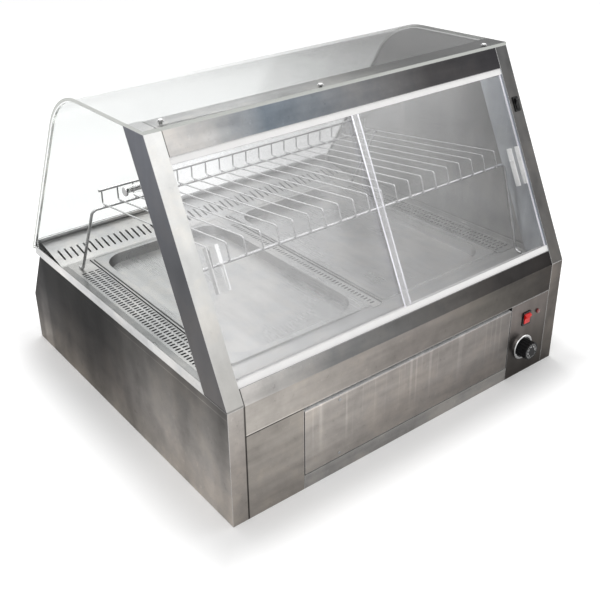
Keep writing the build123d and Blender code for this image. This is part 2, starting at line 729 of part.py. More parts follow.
def door_handle(centre_x, centre_rise, groove):
    """Clear channel on a door's service-side face, with its lips out."""
    with BuildPart() as piece:
        with BuildSketch(lean_face(groove - DOOR_THICKNESS / 2)):
            with Locations((centre_x, centre_rise)):
                Rectangle(HANDLE_WIDTH, HANDLE_HEIGHT)
        extrude(amount=HANDLE_REACH)
        with BuildSketch(lean_face(groove - DOOR_THICKNESS / 2 - HANDLE_WALL)):
            with Locations((centre_x, centre_rise)):
                Rectangle(HANDLE_WIDTH - 2 * HANDLE_WALL, HANDLE_HEIGHT)
        extrude(amount=HANDLE_REACH, mode=Mode.SUBTRACT)
    return piece


door_edge = INNER - DOOR_SIDE_GAP
handle_x = door_edge - HANDLE_INSET - HANDLE_WIDTH / 2
front_groove, rear_groove = GROOVE_CENTRES
save("left_door", door(-door_edge, DOOR_SPLIT + DOOR_OVERLAP / 2, rear_groove))
save("right_door", door(DOOR_SPLIT - DOOR_OVERLAP / 2, door_edge, front_groove))
save("left_door_handle", door_handle(-handle_x, LEFT_HANDLE_CENTRE, rear_groove))
save("right_door_handle", door_handle(handle_x, RIGHT_HANDLE_CENTRE, front_groove))

# Curved glass over the top and down the customer side
with BuildPart() as curved_glass:
    with BuildSketch(side_section(-HALF)) as glass_sketch:
        with BuildLine():
            Polyline(*glass_line(0), *reversed(glass_line(GLASS)), close=True)
        make_face()
        outer, inner = glass_line(0)[1], glass_line(GLASS)[1]
        fillet(glass_sketch.vertices().sort_by_distance((*outer, 0))[0], GLASS_BEND)
        fillet(glass_sketch.vertices().sort_by_distance((*inner, 0))[0], GLASS_BEND - GLASS)
    extrude(amount=CASE_WIDTH)
    with BuildSketch(Plane.XY.offset(CASE_TOP)):
        with Locations(*glass_holes):
            Circle(SCREW_SHANK / 2 + SCREW_GAP)
    extrude(amount=-GLASS, mode=Mode.SUBTRACT)
save("curved_glass", curved_glass)

# Screws through the glass into the top rail
with BuildPart() as glass_screws:
    with Locations(*[(x, y, CASE_TOP) for x, y in glass_holes]):
        Cylinder(SCREW_FLANGE / 2, SCREW_FLANGE_HEIGHT, align=(Align.CENTER, Align.CENTER, Align.MIN))
        Cylinder(SCREW_SHANK / 2, GLASS + SCREW_TAIL, align=(Align.CENTER, Align.CENTER, Align.MAX))
    with Locations(*[(x, y, CASE_TOP + SCREW_FLANGE_HEIGHT) for x, y in glass_holes]):
        Cylinder(SCREW_HEAD / 2, SCREW_HEAD_HEIGHT, align=(Align.CENTER, Align.CENTER, Align.MIN))
    fillet(glass_screws.edges().group_by(Axis.Z)[-1], SCREW_HEAD_HEIGHT / 2)
save("glass_screws", glass_screws)

# Rest under the foot of the curved glass, and its gasket
rest_foot = glass_height(GLASS + GASKET, FRONT + REST_FAR)
REST_LINE = ((FRONT + REST_FAR, rest_foot),
             (FRONT + REST_FAR - (REST_HEIGHT - rest_foot) / tan(GLASS_PITCH), REST_HEIGHT))
with BuildPart() as glass_rest_rail:
    fold(side_section(-REST_WIDTH / 2),
         ((FRONT + REST_NEAR, BASE_HEIGHT), (FRONT + REST_FAR, BASE_HEIGHT), *REST_LINE), REST_WIDTH, Side.LEFT)
save("glass_rest_rail", glass_rest_rail)

with BuildPart() as rest_gasket:
    with BuildSketch(side_section(-REST_WIDTH / 2)):
        with BuildLine():
            Line(*REST_LINE)
            offset(amount=GASKET, side=Side.RIGHT)
        make_face()
    extrude(amount=REST_WIDTH)
save("rest_gasket", rest_gasket)


def end_outline(inset):
    """Outline of a cabinet end inside the posts, rails and glass, less an inset."""
    near = POST_DEPTH / cos(LEAN) + END_GAP + inset / cos(LEAN)
    low, high = RAIL_TOP + inset, glass_line(GLASS + END_GAP + inset)[0][1]
    far = FRONT + END_FAR - inset
    bend = glass_line(GLASS + END_GAP + inset)[1]
    return ((face_y(low) + near, low), (face_y(high) + near, high), bend,
            (far, glass_height(GLASS + END_GAP + inset, far)), (far, low))


def end_plate(x, inset, thickness, mode=Mode.ADD):
    """Flat end piece with the curved glass's bend at its corner."""
    with BuildSketch(side_section(x)) as section:
        with BuildLine():
            Polyline(*end_outline(inset), close=True)
        make_face()
        corner = end_outline(inset)[2]
        fillet(section.vertices().sort_by_distance((*corner, 0))[0], GLASS_BEND - GLASS - END_GAP - inset)
    extrude(section.sketch, amount=thickness, mode=mode)


stud_at = (FRONT + STUD_FAR, STUD_HEIGHT)
with BuildPart() as left_end_glass:
    end_plate(SHEET - HALF, 0, END_GLASS)
    with BuildSketch(side_section(SHEET - HALF)):
        with Locations(stud_at):
            Circle(STUD_ROD / 2 + HOLE_GAP)
    extrude(amount=END_GLASS, mode=Mode.SUBTRACT)
save("left_end_glass", left_end_glass)

with BuildPart() as right_end_wall:
    end_plate(HALF - SHEET, 0, -END_RIM)
    end_plate(HALF - 2 * SHEET, SHEET, SHEET - END_RIM, mode=Mode.SUBTRACT)
save("right_end_wall", right_end_wall)


def side_rail(side):
    """Angle along the base's top edge that holds a cabinet end at its foot."""
    edge = side * HALF
    top = BASE_HEIGHT + RAIL_HEIGHT
    near = POST_DEPTH / cos(LEAN) + SEAM
    far = FRONT + REST_FAR
    with BuildPart() as piece:
        plate(side_section(edge),
              ((face_y(BASE_HEIGHT) + near, BASE_HEIGHT), (face_y(top) + near, top), (far, top),
               (far, BASE_HEIGHT)), -side * SHEET)
        low_x, high_x = sorted((edge, edge - side * (SHEET + RAIL_FLANGE)))
        block((low_x, FRONT + RAIL_FLANGE_NEAR, DECK_TOP), (high_x, FRONT + RAIL_FLANGE_FAR, RAIL_TOP))
        with BuildSketch(Plane.XY.offset(DECK_TOP)) as slit:
            slit_y = FRONT + RAIL_SLIT_NEAR + RAIL_SLIT_LENGTH / 2
            with Locations((edge - side * RAIL_SLIT_INSET, slit_y)):
                SlotOverall(RAIL_SLIT_LENGTH, RAIL_SLIT_WIDTH, rotation=90)
        extrude(amount=SHEET, mode=Mode.SUBTRACT)
    return piece


save("left_side_rail", side_rail(-1))
save("right_side_rail", side_rail(1))

# Chrome stud through the end glass and the clear sleeve on it
with BuildPart() as side_stud:
    with BuildSketch(side_section(SHEET - HALF)):
        with Locations(stud_at):
            Circle(STUD_CAP / 2)
    extrude(amount=-STUD_CAP_THICKNESS)
    fillet(side_stud.edges().group_by(Axis.X)[0], STUD_CAP_THICKNESS / 2)
    with BuildSketch(side_section(SHEET - HALF)):
        with Locations(stud_at):
            Circle(STUD_ROD / 2)
    extrude(amount=END_GLASS + SLEEVE_LENGTH - SHEET)
save("side_stud", side_stud)

with BuildPart() as stud_sleeve:
    sleeve_x = SHEET - HALF + END_GLASS
    with BuildSketch(side_section(sleeve_x)):
        with Locations(stud_at):
            Circle(SLEEVE_SMALL / 2)
    with BuildSketch(side_section(sleeve_x + SLEEVE_LENGTH)):
        with Locations(stud_at):
            Circle(SLEEVE_LARGE / 2)
    loft()
    with BuildSketch(side_section(sleeve_x)):
        with Locations(stud_at):
            Circle(STUD_ROD / 2)
    extrude(amount=SLEEVE_LENGTH - SHEET, mode=Mode.SUBTRACT)
save("stud_sleeve", stud_sleeve)

# Rack: a welded wire grid on two bent frames
with BuildPart() as rack_grid:
    wire_xs = [(i - (WIRE_COUNT - 1) / 2) * WIRE_PITCH for i in range(WIRE_COUNT)]
    for x in wire_xs:
        rod(((x, FRONT + RACK_NEAR - WIRE_DROP_LEAN, RACK_NEAR_HEIGHT - WIRE_DROP),
             (x, FRONT + RACK_NEAR, RACK_NEAR_HEIGHT),
             (x, FRONT + RACK_FAR, RACK_FAR_HEIGHT), (x, FRONT + RACK_FAR, RIM_ROD_HEIGHT)),
            WIRE / 2, WIRE_BEND)
    rim_end = wire_xs[-1] + RIM_OVERHANG
    with Locations((0, FRONT + RACK_FAR, RIM_ROD_HEIGHT)):
        Cylinder(RACK_ROD / 2, 2 * rim_end, rotation=(0, 90, 0))
save("rack_grid", rack_grid)


def rack_frame(side_x, foot_y, foot_z, turn, rod_y, rod_z):
    """Cross rod with a leg bent down at each end and a turned foot."""
    left = ((-side_x, foot_y + turn * FOOT_LENGTH, foot_z), (-side_x, foot_y, foot_z), (-side_x, rod_y, rod_z))
    right = tuple((-x, y, z) for x, y, z in reversed(left))
    with BuildPart() as piece:
        rod((*left, *right), RACK_ROD / 2, LEG_BEND)
    return piece


# The rods touch the wires: one behind the wires' drops, one under their run
rod_spacing = (RACK_ROD + WIRE) / 2
drop_angle = atan2(WIRE_DROP_LEAN, WIRE_DROP)
wire_slope = atan2(RACK_NEAR_HEIGHT - RACK_FAR_HEIGHT, RACK_FAR - RACK_NEAR)
front_rod_y = (FRONT + RACK_NEAR - WIRE_DROP_LEAN + ROD_TO_WIRE_TIP * sin(drop_angle)
               + rod_spacing * cos(drop_angle))
front_rod_z = (RACK_NEAR_HEIGHT - WIRE_DROP + ROD_TO_WIRE_TIP * cos(drop_angle)
               - rod_spacing * sin(drop_angle))
rear_rod_z = RACK_FAR_HEIGHT + (RACK_FAR - REAR_ROD_FAR) * tan(wire_slope) - rod_spacing / cos(wire_slope)
save("rack_front_frame", rack_frame(FRONT_LEG_SIDE, FRONT + FRONT_FOOT_FAR, DECK_TOP + RACK_ROD / 2, -1,
                                    front_rod_y, front_rod_z))
save("rack_rear_frame", rack_frame(REAR_LEG_SIDE, FRONT + REAR_FOOT_FAR,
                                   DECK_TOP + STRIP_SHEET + RACK_ROD / 2, 1,
                                   FRONT + REAR_ROD_FAR, rear_rod_z))

# Drawer front with a folded top lip and side and bottom flanges
with BuildPart() as drawer_front:
    low_x, high_x = DRAWER_LEFT + DRAWER_GAP, CONTROL_PANEL_LEFT - DRAWER_GAP
    low_z, high_z = PLINTH_HEIGHT + DRAWER_GAP, FASCIA_SEAM_HEIGHT - DRAWER_TOP_GAP
    block((low_x, FRONT, low_z), (high_x, FRONT + DRAWER_FLANGE, high_z))
    block((low_x + SHEET, FRONT + SHEET, low_z + SHEET),
          (high_x - SHEET, FRONT + DRAWER_FLANGE, high_z - SHEET), mode=Mode.SUBTRACT)
    block((low_x, FRONT + DRAWER_FLANGE - SHEET, high_z - DRAWER_LIP), (high_x, FRONT + DRAWER_FLANGE, high_z))
    with BuildSketch(front_face):
        with Locations(*[(RIVET_X, z) for z in RIVET_HEIGHTS]):
            Circle(RIVET_SHANK / 2)
    extrude(amount=-SHEET, mode=Mode.SUBTRACT)
save("drawer_front", drawer_front)


# Drawer tray: open box with a front upstand and a slide bar on each side
tray_left, tray_right = DRAWER_LEFT + TRAY_GAP, CONTROL_PANEL_LEFT - TRAY_GAP
tray_near, tray_top = FRONT + SHEET, TRAY_LIFT + TRAY_HEIGHT
with BuildPart() as drawer_tray:
    block((tray_left, FRONT + DRAWER_FLANGE, TRAY_LIFT), (tray_right, FRONT + TRAY_LENGTH, tray_top))
    block((tray_left + SHEET, FRONT, TRAY_LIFT + SHEET),
          (tray_right - SHEET, FRONT + TRAY_LENGTH - SHEET, tray_top), mode=Mode.SUBTRACT)
    upstand_top = FASCIA_SEAM_HEIGHT - DRAWER_TOP_GAP - SHEET
    block((tray_left, tray_near, TRAY_LIFT), (tray_right, tray_near + SHEET, upstand_top))
    block((tray_left, tray_near, TRAY_LIFT), (tray_right, FRONT + DRAWER_FLANGE, TRAY_LIFT + SHEET))
    for wall_x in (tray_left, tray_right - SHEET):
        block((wall_x, tray_near, TRAY_LIFT), (wall_x + SHEET, FRONT + DRAWER_FLANGE, tray_top))
    bar_reach = TRAY_GAP - RUNNER_WALL - RUNNER_GAP - DRAWER_GAP
    for low_x, high_x in ((tray_left - bar_reach, tray_left), (tray_right, tray_right + bar_reach)):
        block((low_x, FRONT + RUNNER_NEAR, SLIDE_BAR_LIFT),
              (high_x, FRONT + RUNNER_NEAR + RUNNER_LENGTH - RUNNER_DEPTH, SLIDE_BAR_LIFT + SLIDE_BAR_HEIGHT))
    with BuildSketch(front_face):
        with Locations(*[(RIVET_X, z) for z in RIVET_HEIGHTS]):
            Circle(RIVET_SHANK / 2)
    extrude(amount=-3 * SHEET, mode=Mode.SUBTRACT)
save("drawer_tray", drawer_tray)

# Rivets that hold the drawer front to the tray
with BuildPart() as drawer_rivets:
    with BuildSketch(front_face):
        with Locations(*[(RIVET_X, z) for z in RIVET_HEIGHTS]):
            Circle(RIVET_HEAD / 2)
    extrude(amount=RIVET_HEAD_HEIGHT)
    fillet(drawer_rivets.edges().group_by(Axis.Y)[0], RIVET_HEAD_HEIGHT / 2)
    with BuildSketch(front_face):
        with Locations(*[(RIVET_X, z) for z in RIVET_HEIGHTS]):
            Circle(RIVET_SHANK / 2)
    extrude(amount=-2 * SHEET)
    with BuildSketch(Plane(origin=(0, FRONT + 2 * SHEET, 0), x_dir=(1, 0, 0), z_dir=(0, -1, 0))):
        with Locations(*[(RIVET_X, z) for z in RIVET_HEIGHTS]):
            Circle(RIVET_HEAD / 2)
    extrude(amount=-RIVET_HEAD_HEIGHT)
save("drawer_rivets", drawer_rivets)


def drawer_runner(side):
    """Channel that a slide bar runs in, on two legs from the floor."""
    wall_x = DRAWER_LEFT + DRAWER_GAP if side < 0 else CONTROL_PANEL_LEFT - DRAWER_GAP
    low_z = SLIDE_BAR_LIFT - RUNNER_GAP - RUNNER_WALL
    high_z = SLIDE_BAR_LIFT + SLIDE_BAR_HEIGHT + RUNNER_GAP + RUNNER_WALL
    near, far = FRONT + RUNNER_NEAR, FRONT + RUNNER_NEAR + RUNNER_LENGTH
    outer, lip = sorted((wall_x, wall_x - side * RUNNER_DEPTH))
    inside = sorted((wall_x - side * RUNNER_WALL, wall_x - side * 2 * RUNNER_DEPTH))
    web = sorted((wall_x, wall_x - side * RUNNER_WALL))
    foot = sorted((wall_x, wall_x - side * RUNNER_FOOT))
    with BuildPart() as piece:
        block((outer, near, low_z), (lip, far, high_z))
        block((inside[0], near, low_z + RUNNER_WALL), (inside[1], far - RUNNER_WALL, high_z - RUNNER_WALL),
              mode=Mode.SUBTRACT)
        for leg_y in (near, far - RUNNER_LEG):
            block((web[0], leg_y, SHEET), (web[1], leg_y + RUNNER_LEG, low_z))
            block((foot[0], leg_y, SHEET), (foot[1], leg_y + RUNNER_LEG, SHEET + RUNNER_WALL))
    return piece


save("left_drawer_runner", drawer_runner(-1))
save("right_drawer_runner", drawer_runner(1))

# Heat shield over the drawer: a shallow tray between the base's sides
with BuildPart() as heat_shield:
    shield_x = HALF - SHEET
    near, far = FRONT + SHIELD_NEAR, FRONT + SHIELD_NEAR + SHIELD_LENGTH
    block((-shield_x, near, SHIELD_HEIGHT), (shield_x, far, SHIELD_HEIGHT + SHIELD_LIP))
    block((SHEET - shield_x, near + SHEET, SHIELD_HEIGHT + SHEET),
          (shield_x - SHEET, far - SHEET, SHIELD_HEIGHT + SHIELD_LIP), mode=Mode.SUBTRACT)
save("heat_shield", heat_shield)
SHIELD_TOP = SHIELD_HEIGHT + SHEET


def heating_element(side):
    """Tubular element bent into four runs under one pan."""
    centre = side * PAN_CENTRE
    near, far, back = FRONT + ELEMENT_NEAR, FRONT + ELEMENT_FAR, FRONT + ELEMENT_RETURN
    runs = ((near, far), (far, back), (back, far), (far, near))
    points = [(centre + x, y, ELEMENT_HEIGHT) for x, run in zip(ELEMENT_LEG_X, runs) for y in run]
    with BuildPart() as piece:
        rod(points, ELEMENT / 2, ELEMENT_BEND)
    return piece


save("left_element", heating_element(-1))
save("right_element", heating_element(1))

# Saddles that stand on the shield and hold the outer runs of the elements
with BuildPart() as element_clips:
    clip_top = ELEMENT_HEIGHT + CLIP_CROWN
    for side in (-1, 1):
        for x in (ELEMENT_LEG_X[0], ELEMENT_LEG_X[-1]):
            for clip_far in CLIP_FARS:
                clip_x, clip_y = side * PAN_CENTRE + x, FRONT + clip_far
                block((clip_x - CLIP_WIDTH / 2, clip_y, SHIELD_TOP),
                      (clip_x + CLIP_WIDTH / 2, clip_y + CLIP_LENGTH, clip_top))
                with Locations((clip_x, clip_y + CLIP_LENGTH / 2, ELEMENT_HEIGHT)):
                    Cylinder(ELEMENT / 2, CLIP_LENGTH, rotation=(90, 0, 0), mode=Mode.SUBTRACT)
save("element_clips", element_clips)

# Terminal block on the floor, with a row of screw wells
with BuildPart() as terminal_block:
    with Locations((TERMINAL_X, FRONT + TERMINAL_FAR, SHEET)):
        Box(*TERMINAL_SIZE, align=(Align.CENTER, Align.CENTER, Align.MIN))
    with BuildSketch(Plane.XY.offset(SHEET + TERMINAL_SIZE[2])):
        with Locations((TERMINAL_X, FRONT + TERMINAL_FAR)):
            with GridLocations(1, TERMINAL_PITCH, 1, 3):
                Circle(TERMINAL_SCREW / 2)
    extrude(amount=-TERMINAL_SIZE[2] / 2, mode=Mode.SUBTRACT)
save("terminal_block", terminal_block)

# Thermostat behind the control panel, with its shaft bore
knob_face = Plane(origin=(KNOB_X, FRONT, KNOB_Z), x_dir=(1, 0, 0), z_dir=(0, -1, 0))
with BuildPart() as thermostat_body:
    with BuildSketch(knob_face.offset(-SHEET)):
        Rectangle(THERMOSTAT_WIDTH, THERMOSTAT_HEIGHT)
    extrude(amount=-THERMOSTAT_DEPTH)
    with BuildSketch(knob_face.offset(-SHEET)):
        Circle(SHAFT / 2 + SHAFT_PLAY)
    extrude(amount=SHEET - SHAFT_TAIL - SEAM, mode=Mode.SUBTRACT)
save("thermostat_body", thermostat_body)

KNOB_BACK = BEZEL_BASE + KNOB_GAP
with BuildPart() as thermostat_shaft:
    with BuildSketch(knob_face.offset(-SHAFT_TAIL)):
        Circle(SHAFT / 2)
    extrude(amount=SHAFT_TAIL + KNOB_BACK + KNOB_BORE_DEPTH)
save("thermostat_shaft", thermostat_shaft)

with BuildPart() as thermostat_bezel:
    with BuildSketch(knob_face):
        Circle(BEZEL / 2)
    extrude(amount=BEZEL_THICKNESS)
    fillet(thermostat_bezel.edges().group_by(Axis.Y)[0], BEZEL_EDGE)
    with BuildSketch(knob_face.offset(BEZEL_BASE)):
        Circle(BEZEL / 2 - BEZEL_RIM)
    extrude(amount=BEZEL_THICKNESS, mode=Mode.SUBTRACT)
    with BuildSketch(knob_face):
        Circle(SHAFT_HOLE / 2)
    extrude(amount=BEZEL_THICKNESS, mode=Mode.SUBTRACT)
save("thermostat_bezel", thermostat_bezel)

with BuildPart() as thermostat_knob:
    with BuildSketch(knob_face.offset(KNOB_BACK)):
        Circle(KNOB_SKIRT / 2)
    extrude(amount=KNOB_SKIRT_THICKNESS)
    with BuildSketch(knob_face.offset(KNOB_BACK)):
        Circle(KNOB / 2)
    extrude(amount=KNOB_LENGTH)
    fillet(thermostat_knob.edges().group_by(Axis.Y)[0], BEZEL_EDGE)
    with BuildSketch(knob_face.offset(KNOB_BACK + KNOB_SKIRT_THICKNESS)):
        with PolarLocations(KNOB / 2, KNOB_FLUTES):
            Circle(KNOB_FLUTE)
    extrude(amount=KNOB_LENGTH, mode=Mode.SUBTRACT)
    with BuildSketch(knob_face.offset(KNOB_BACK + KNOB_SKIRT_THICKNESS)):
        with Locations((0, KNOB / 2)):
            Rectangle(KNOB_TAB_WIDTH, KNOB_SKIRT - KNOB)
    extrude(amount=KNOB_TAB_HEIGHT)
    with BuildSketch(knob_face.offset(KNOB_BACK)):
        Circle(SHAFT / 2)
    extrude(amount=KNOB_BORE_DEPTH, mode=Mode.SUBTRACT)
    with BuildSketch(knob_face.offset(KNOB_BACK + KNOB_LENGTH)):
        Circle(KNOB_DISH / 2)
    extrude(amount=-KNOB_DISH_DEPTH, mode=Mode.SUBTRACT)
save("thermostat_knob", thermostat_knob)

# Capillary from the thermostat, up in front of the shield, to a feeler lying on it
with BuildPart() as capillary_tube:
    start_y = FRONT + SHEET + THERMOSTAT_DEPTH
    rise_y = FRONT + SHIELD_NEAR - CAPILLARY_BEND
    over_z = SHIELD_HEIGHT + SHIELD_LIP + CAPILLARY_BEND
    feeler_y, feeler_z = FRONT + FEELER_FAR, SHIELD_TOP + FEELER / 2
    rod(((KNOB_X, start_y, KNOB_Z), (KNOB_X, rise_y, KNOB_Z), (KNOB_X, rise_y, over_z),
         (KNOB_X, FRONT + SHIELD_NEAR + 2 * CAPILLARY_BEND, over_z),
         (KNOB_X, feeler_y - 2 * CAPILLARY_BEND, feeler_z), (KNOB_X, feeler_y, feeler_z)),
        CAPILLARY / 2, CAPILLARY_BEND)
    with BuildSketch(Plane(origin=(KNOB_X, feeler_y, feeler_z), x_dir=(1, 0, 0), z_dir=(0, 1, 0))):
        Circle(FEELER / 2)
    extrude(amount=FEELER_LENGTH)
save("capillary_tube", capillary_tube)


def switch_pocket(width, height):
    """Size of the pocket that a switch's rocker moves in."""
    return (width - 2 * SWITCH_BORDER - 2 * SWITCH_WALL, height - 2 * SWITCH_BORDER - 2 * SWITCH_WALL)


def switch_body(face, width, height):
    """Switch housing with a bezel on the panel and a pocket with pin holes for the rocker."""
    pocket = switch_pocket(width, height)
    with BuildPart() as piece:
        with BuildSketch(face):
            RectangleRounded(width, height, SWITCH_BORDER)
        extrude(amount=SWITCH_BEZEL)
        with BuildSketch(face):
            Rectangle(width - 2 * SWITCH_BORDER, height - 2 * SWITCH_BORDER)
        extrude(amount=-SWITCH_DEPTH)
        with BuildSketch(face.offset(SWITCH_BEZEL)):
            Rectangle(*pocket)
        extrude(amount=-SWITCH_BEZEL - SWITCH_POCKET, mode=Mode.SUBTRACT)
        with BuildSketch(rocker_section(face)):
            Circle(ROCKER_PIN / 2 + ROCKER_PIN_PLAY)
        extrude(amount=pocket[0] / 2 + ROCKER_PIN_LENGTH + ROCKER_PIN_PLAY, both=True, mode=Mode.SUBTRACT)
    return piece


def rocker_section(face):
    """Plane across a rocker at its pivot, tilted to the resting position: local x points out."""
    pivot = face.offset(-ROCKER_PIVOT_DEPTH).origin
    out = face.z_dir * cos(radians(ROCKER_TILT)) - face.y_dir * sin(radians(ROCKER_TILT))
    return Plane(origin=pivot, x_dir=out, z_dir=-face.x_dir)


def switch_rocker(face, width, height):
    """Rocker with a shallow vee face, round ends and a pin on each side."""
    pocket = switch_pocket(width, height)
    sweep_radius = pocket[1] / 2 - ROCKER_GAP
    vee = ROCKER_CROWN + sweep_radius * tan(radians(ROCKER_TILT))
    with BuildPart() as piece:
        with BuildSketch(rocker_section(face)):
            Circle(sweep_radius)
            with BuildLine():
                Polyline((-ROCKER_BACK, -pocket[1]), (-ROCKER_BACK, pocket[1]),
                         (2 * vee - ROCKER_CROWN, pocket[1]), (vee, sweep_radius), (ROCKER_CROWN, 0),
                         (vee, -sweep_radius), (2 * vee - ROCKER_CROWN, -pocket[1]), close=True)
            make_face(mode=Mode.INTERSECT)
        extrude(amount=pocket[0] / 2 - ROCKER_GAP, both=True)
        with BuildSketch(rocker_section(face)):
            Circle(ROCKER_PIN / 2)
        extrude(amount=pocket[0] / 2 + ROCKER_PIN_LENGTH, both=True)
    return piece


switch_face = Plane(origin=(SWITCH_X, FRONT, SWITCH_Z), x_dir=(1, 0, 0), z_dir=(0, -1, 0))
save("main_switch_body", switch_body(switch_face, SWITCH_WIDTH, SWITCH_HEIGHT))
save("main_rocker", switch_rocker(switch_face, SWITCH_WIDTH, SWITCH_HEIGHT))
save("lamp_switch_body", switch_body(lamp_switch_face, LAMP_SWITCH_WIDTH, SWITCH_HEIGHT))
save("lamp_rocker", switch_rocker(lamp_switch_face, LAMP_SWITCH_WIDTH, SWITCH_HEIGHT))

# Pilot lamp: domed lens, stem through the panel and a nut behind it
with BuildPart() as pilot_lamp:
    pilot_face = Plane(origin=(PILOT_X, FRONT, PILOT_Z), x_dir=(1, 0, 0), z_dir=(0, -1, 0))
    with BuildSketch(pilot_face):
        Circle(PILOT_LENS / 2)
    extrude(amount=PILOT_FLANGE + PILOT_DOME)
    fillet(pilot_lamp.edges().group_by(Axis.Y)[0], PILOT_DOME)
    with BuildSketch(pilot_face):
        Circle(PILOT_STEM / 2)
    extrude(amount=-PILOT_STEM_LENGTH)
    with BuildSketch(pilot_face.offset(-SHEET)):
        RegularPolygon(PILOT_NUT / 2, 6, major_radius=False)
    extrude(amount=-PILOT_NUT_THICKNESS)
save("pilot_lamp", pilot_lamp)

# Cable gland in the right-hand side of the base
with BuildPart() as cable_gland:
    gland_at = (FRONT + GLAND_FAR, GLAND_HEIGHT)
    with BuildSketch(side_section(HALF)):
        with Locations(gland_at):
            RegularPolygon(GLAND_NUT / 2, 6, major_radius=False)
    extrude(amount=GLAND_NUT_THICKNESS)
    with BuildSketch(side_section(HALF + GLAND_NUT_THICKNESS)):
        with Locations(gland_at):
            Circle(GLAND_CAP / 2)
    extrude(amount=GLAND_CAP_LENGTH)
    fillet(cable_gland.edges().group_by(Axis.X)[-1], (GLAND_CAP - GLAND_BORE) / 4)
    with BuildSketch(side_section(HALF)):
        with Locations(gland_at):
            Circle(GLAND_THREAD / 2)
    extrude(amount=-SHEET - GLAND_TAIL)
    with BuildSketch(side_section(HALF - SHEET)):
        with Locations(gland_at):
            RegularPolygon(GLAND_NUT / 2, 6, major_radius=False)
    extrude(amount=-GLAND_NUT_THICKNESS)
    with BuildSketch(side_section(HALF - SHEET - GLAND_TAIL)):
        with Locations(gland_at):
            Circle(GLAND_BORE / 2)
    extrude(amount=SHEET + GLAND_TAIL + GLAND_NUT_THICKNESS + GLAND_CAP_LENGTH, mode=Mode.SUBTRACT)
save("cable_gland", cable_gland)

# Lamp under the top rail, held in a socket at each end
with BuildPart() as lamp_tube:
    with Locations((0, FRONT + LAMP_FAR, LAMP_HEIGHT)):
        Cylinder(LAMP_TUBE / 2, LAMP_LENGTH, rotation=(0, 90, 0))
save("lamp_tube", lamp_tube)

with BuildPart() as lamp_sockets:
    socket_width, socket_length, socket_height = LAMP_SOCKET_SIZE
    socket_x = (LAMP_LENGTH + socket_width) / 2 - LAMP_SOCKET_DEPTH
    with Locations(*[(side * socket_x, FRONT + LAMP_FAR, GLASS_SEAT - SHEET) for side in (-1, 1)]):
        Box(*LAMP_SOCKET_SIZE, align=(Align.CENTER, Align.CENTER, Align.MAX))
    with Locations((0, FRONT + LAMP_FAR, LAMP_HEIGHT)):
        Cylinder(LAMP_TUBE / 2, LAMP_LENGTH, rotation=(0, 90, 0), mode=Mode.SUBTRACT)
save("lamp_sockets", lamp_sockets)
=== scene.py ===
"""Finishes, small fittings and studio for a counter-top heated display case."""

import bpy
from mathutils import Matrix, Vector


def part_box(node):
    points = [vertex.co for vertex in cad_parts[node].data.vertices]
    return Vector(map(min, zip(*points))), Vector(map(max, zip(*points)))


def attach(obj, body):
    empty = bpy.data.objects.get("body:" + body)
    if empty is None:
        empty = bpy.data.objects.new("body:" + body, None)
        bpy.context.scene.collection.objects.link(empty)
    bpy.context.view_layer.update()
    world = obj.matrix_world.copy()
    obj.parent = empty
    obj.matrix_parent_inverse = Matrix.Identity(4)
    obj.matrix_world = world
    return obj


bl_info = {
    "name": "Heated display case",
    "version": (1, 0, 0),
    "blender": (4, 5, 0),
    "location": "3D View > Sidebar > Display case",
    "description": "Dresses a counter-top heated display case with procedural finishes and fittings",
    "category": "Object",
}

import math
from collections import namedtuple

import bmesh
import bpy
from mathutils import Matrix, Vector

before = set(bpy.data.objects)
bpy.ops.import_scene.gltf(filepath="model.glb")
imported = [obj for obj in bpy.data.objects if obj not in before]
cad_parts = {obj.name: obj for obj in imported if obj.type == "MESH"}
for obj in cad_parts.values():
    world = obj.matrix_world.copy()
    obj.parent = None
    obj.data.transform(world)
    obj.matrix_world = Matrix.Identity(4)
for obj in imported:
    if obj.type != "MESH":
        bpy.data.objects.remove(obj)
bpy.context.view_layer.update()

MM = 0.001
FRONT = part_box("drawer_front")[0].y
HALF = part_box("curved_glass")[1].x
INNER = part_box("top_rail")[1].x
BASE_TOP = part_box("left_side_panel")[1].z
POST_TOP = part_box("left_post")[1].z
FASCIA_FOOT = 177 * MM
LEAN = math.atan2(196, 415)

FACINGS = {"front": (0, -1, 0), "lean": (0, -math.cos(LEAN), math.sin(LEAN)), "top": (0, 0, 1),
           "left": (-1, 0, 0), "right": (1, 0, 0)}

# Painted reflection and shade: colours along an axis of the faces that look one way, and others towards the
# faces' far side.
Face = namedtuple("Face", "facing axis low high colours far", defaults=(None,))
Far = namedtuple("Far", "axis low high colours")

# Line across an axis, lighter or darker by a share of 1; a light one is a painted highlight, a dark one
# painted shade in a seam, without the painted fold highlight.
Line = namedtuple("Line", "axis place half_width change facing", defaults=(None,))


def tone(red, green, blue):
    """Linear colour from the 0 to 255 values of a screen colour."""
    return tuple(c / 12.92 if c <= 0.04045 else ((c + 0.055) / 1.055) ** 2.4
                 for c in (red / 255, green / 255, blue / 255))


def grey(value, warm=0):
    """Grey of a screen value, a little warmer or cooler."""
    return tone(value + warm, value, value - warm)


class Signal:
    """A shader socket that grows Math nodes when it meets numbers or other signals."""

    def __init__(self, finish, socket):
        self.finish = finish
        self.socket = socket

    def maths(self, operation, *values):
        return self.finish.node("ShaderNodeMath", {"operation": operation}, values)

    def __add__(self, other):
        return self.maths("ADD", self, other)

    __radd__ = __add__

    def __mul__(self, other):
        return self.maths("MULTIPLY", self, other)

    __rmul__ = __mul__

    def __sub__(self, other):
        return self.maths("SUBTRACT", self, other)

    def __rsub__(self, other):
        return self.maths("SUBTRACT", other, self)

    def __truediv__(self, other):
        return self.maths("DIVIDE", self, other)

    def __pow__(self, other):
        return self.maths("POWER", self, other)

    def __abs__(self):
        return self.maths("ABSOLUTE", self)


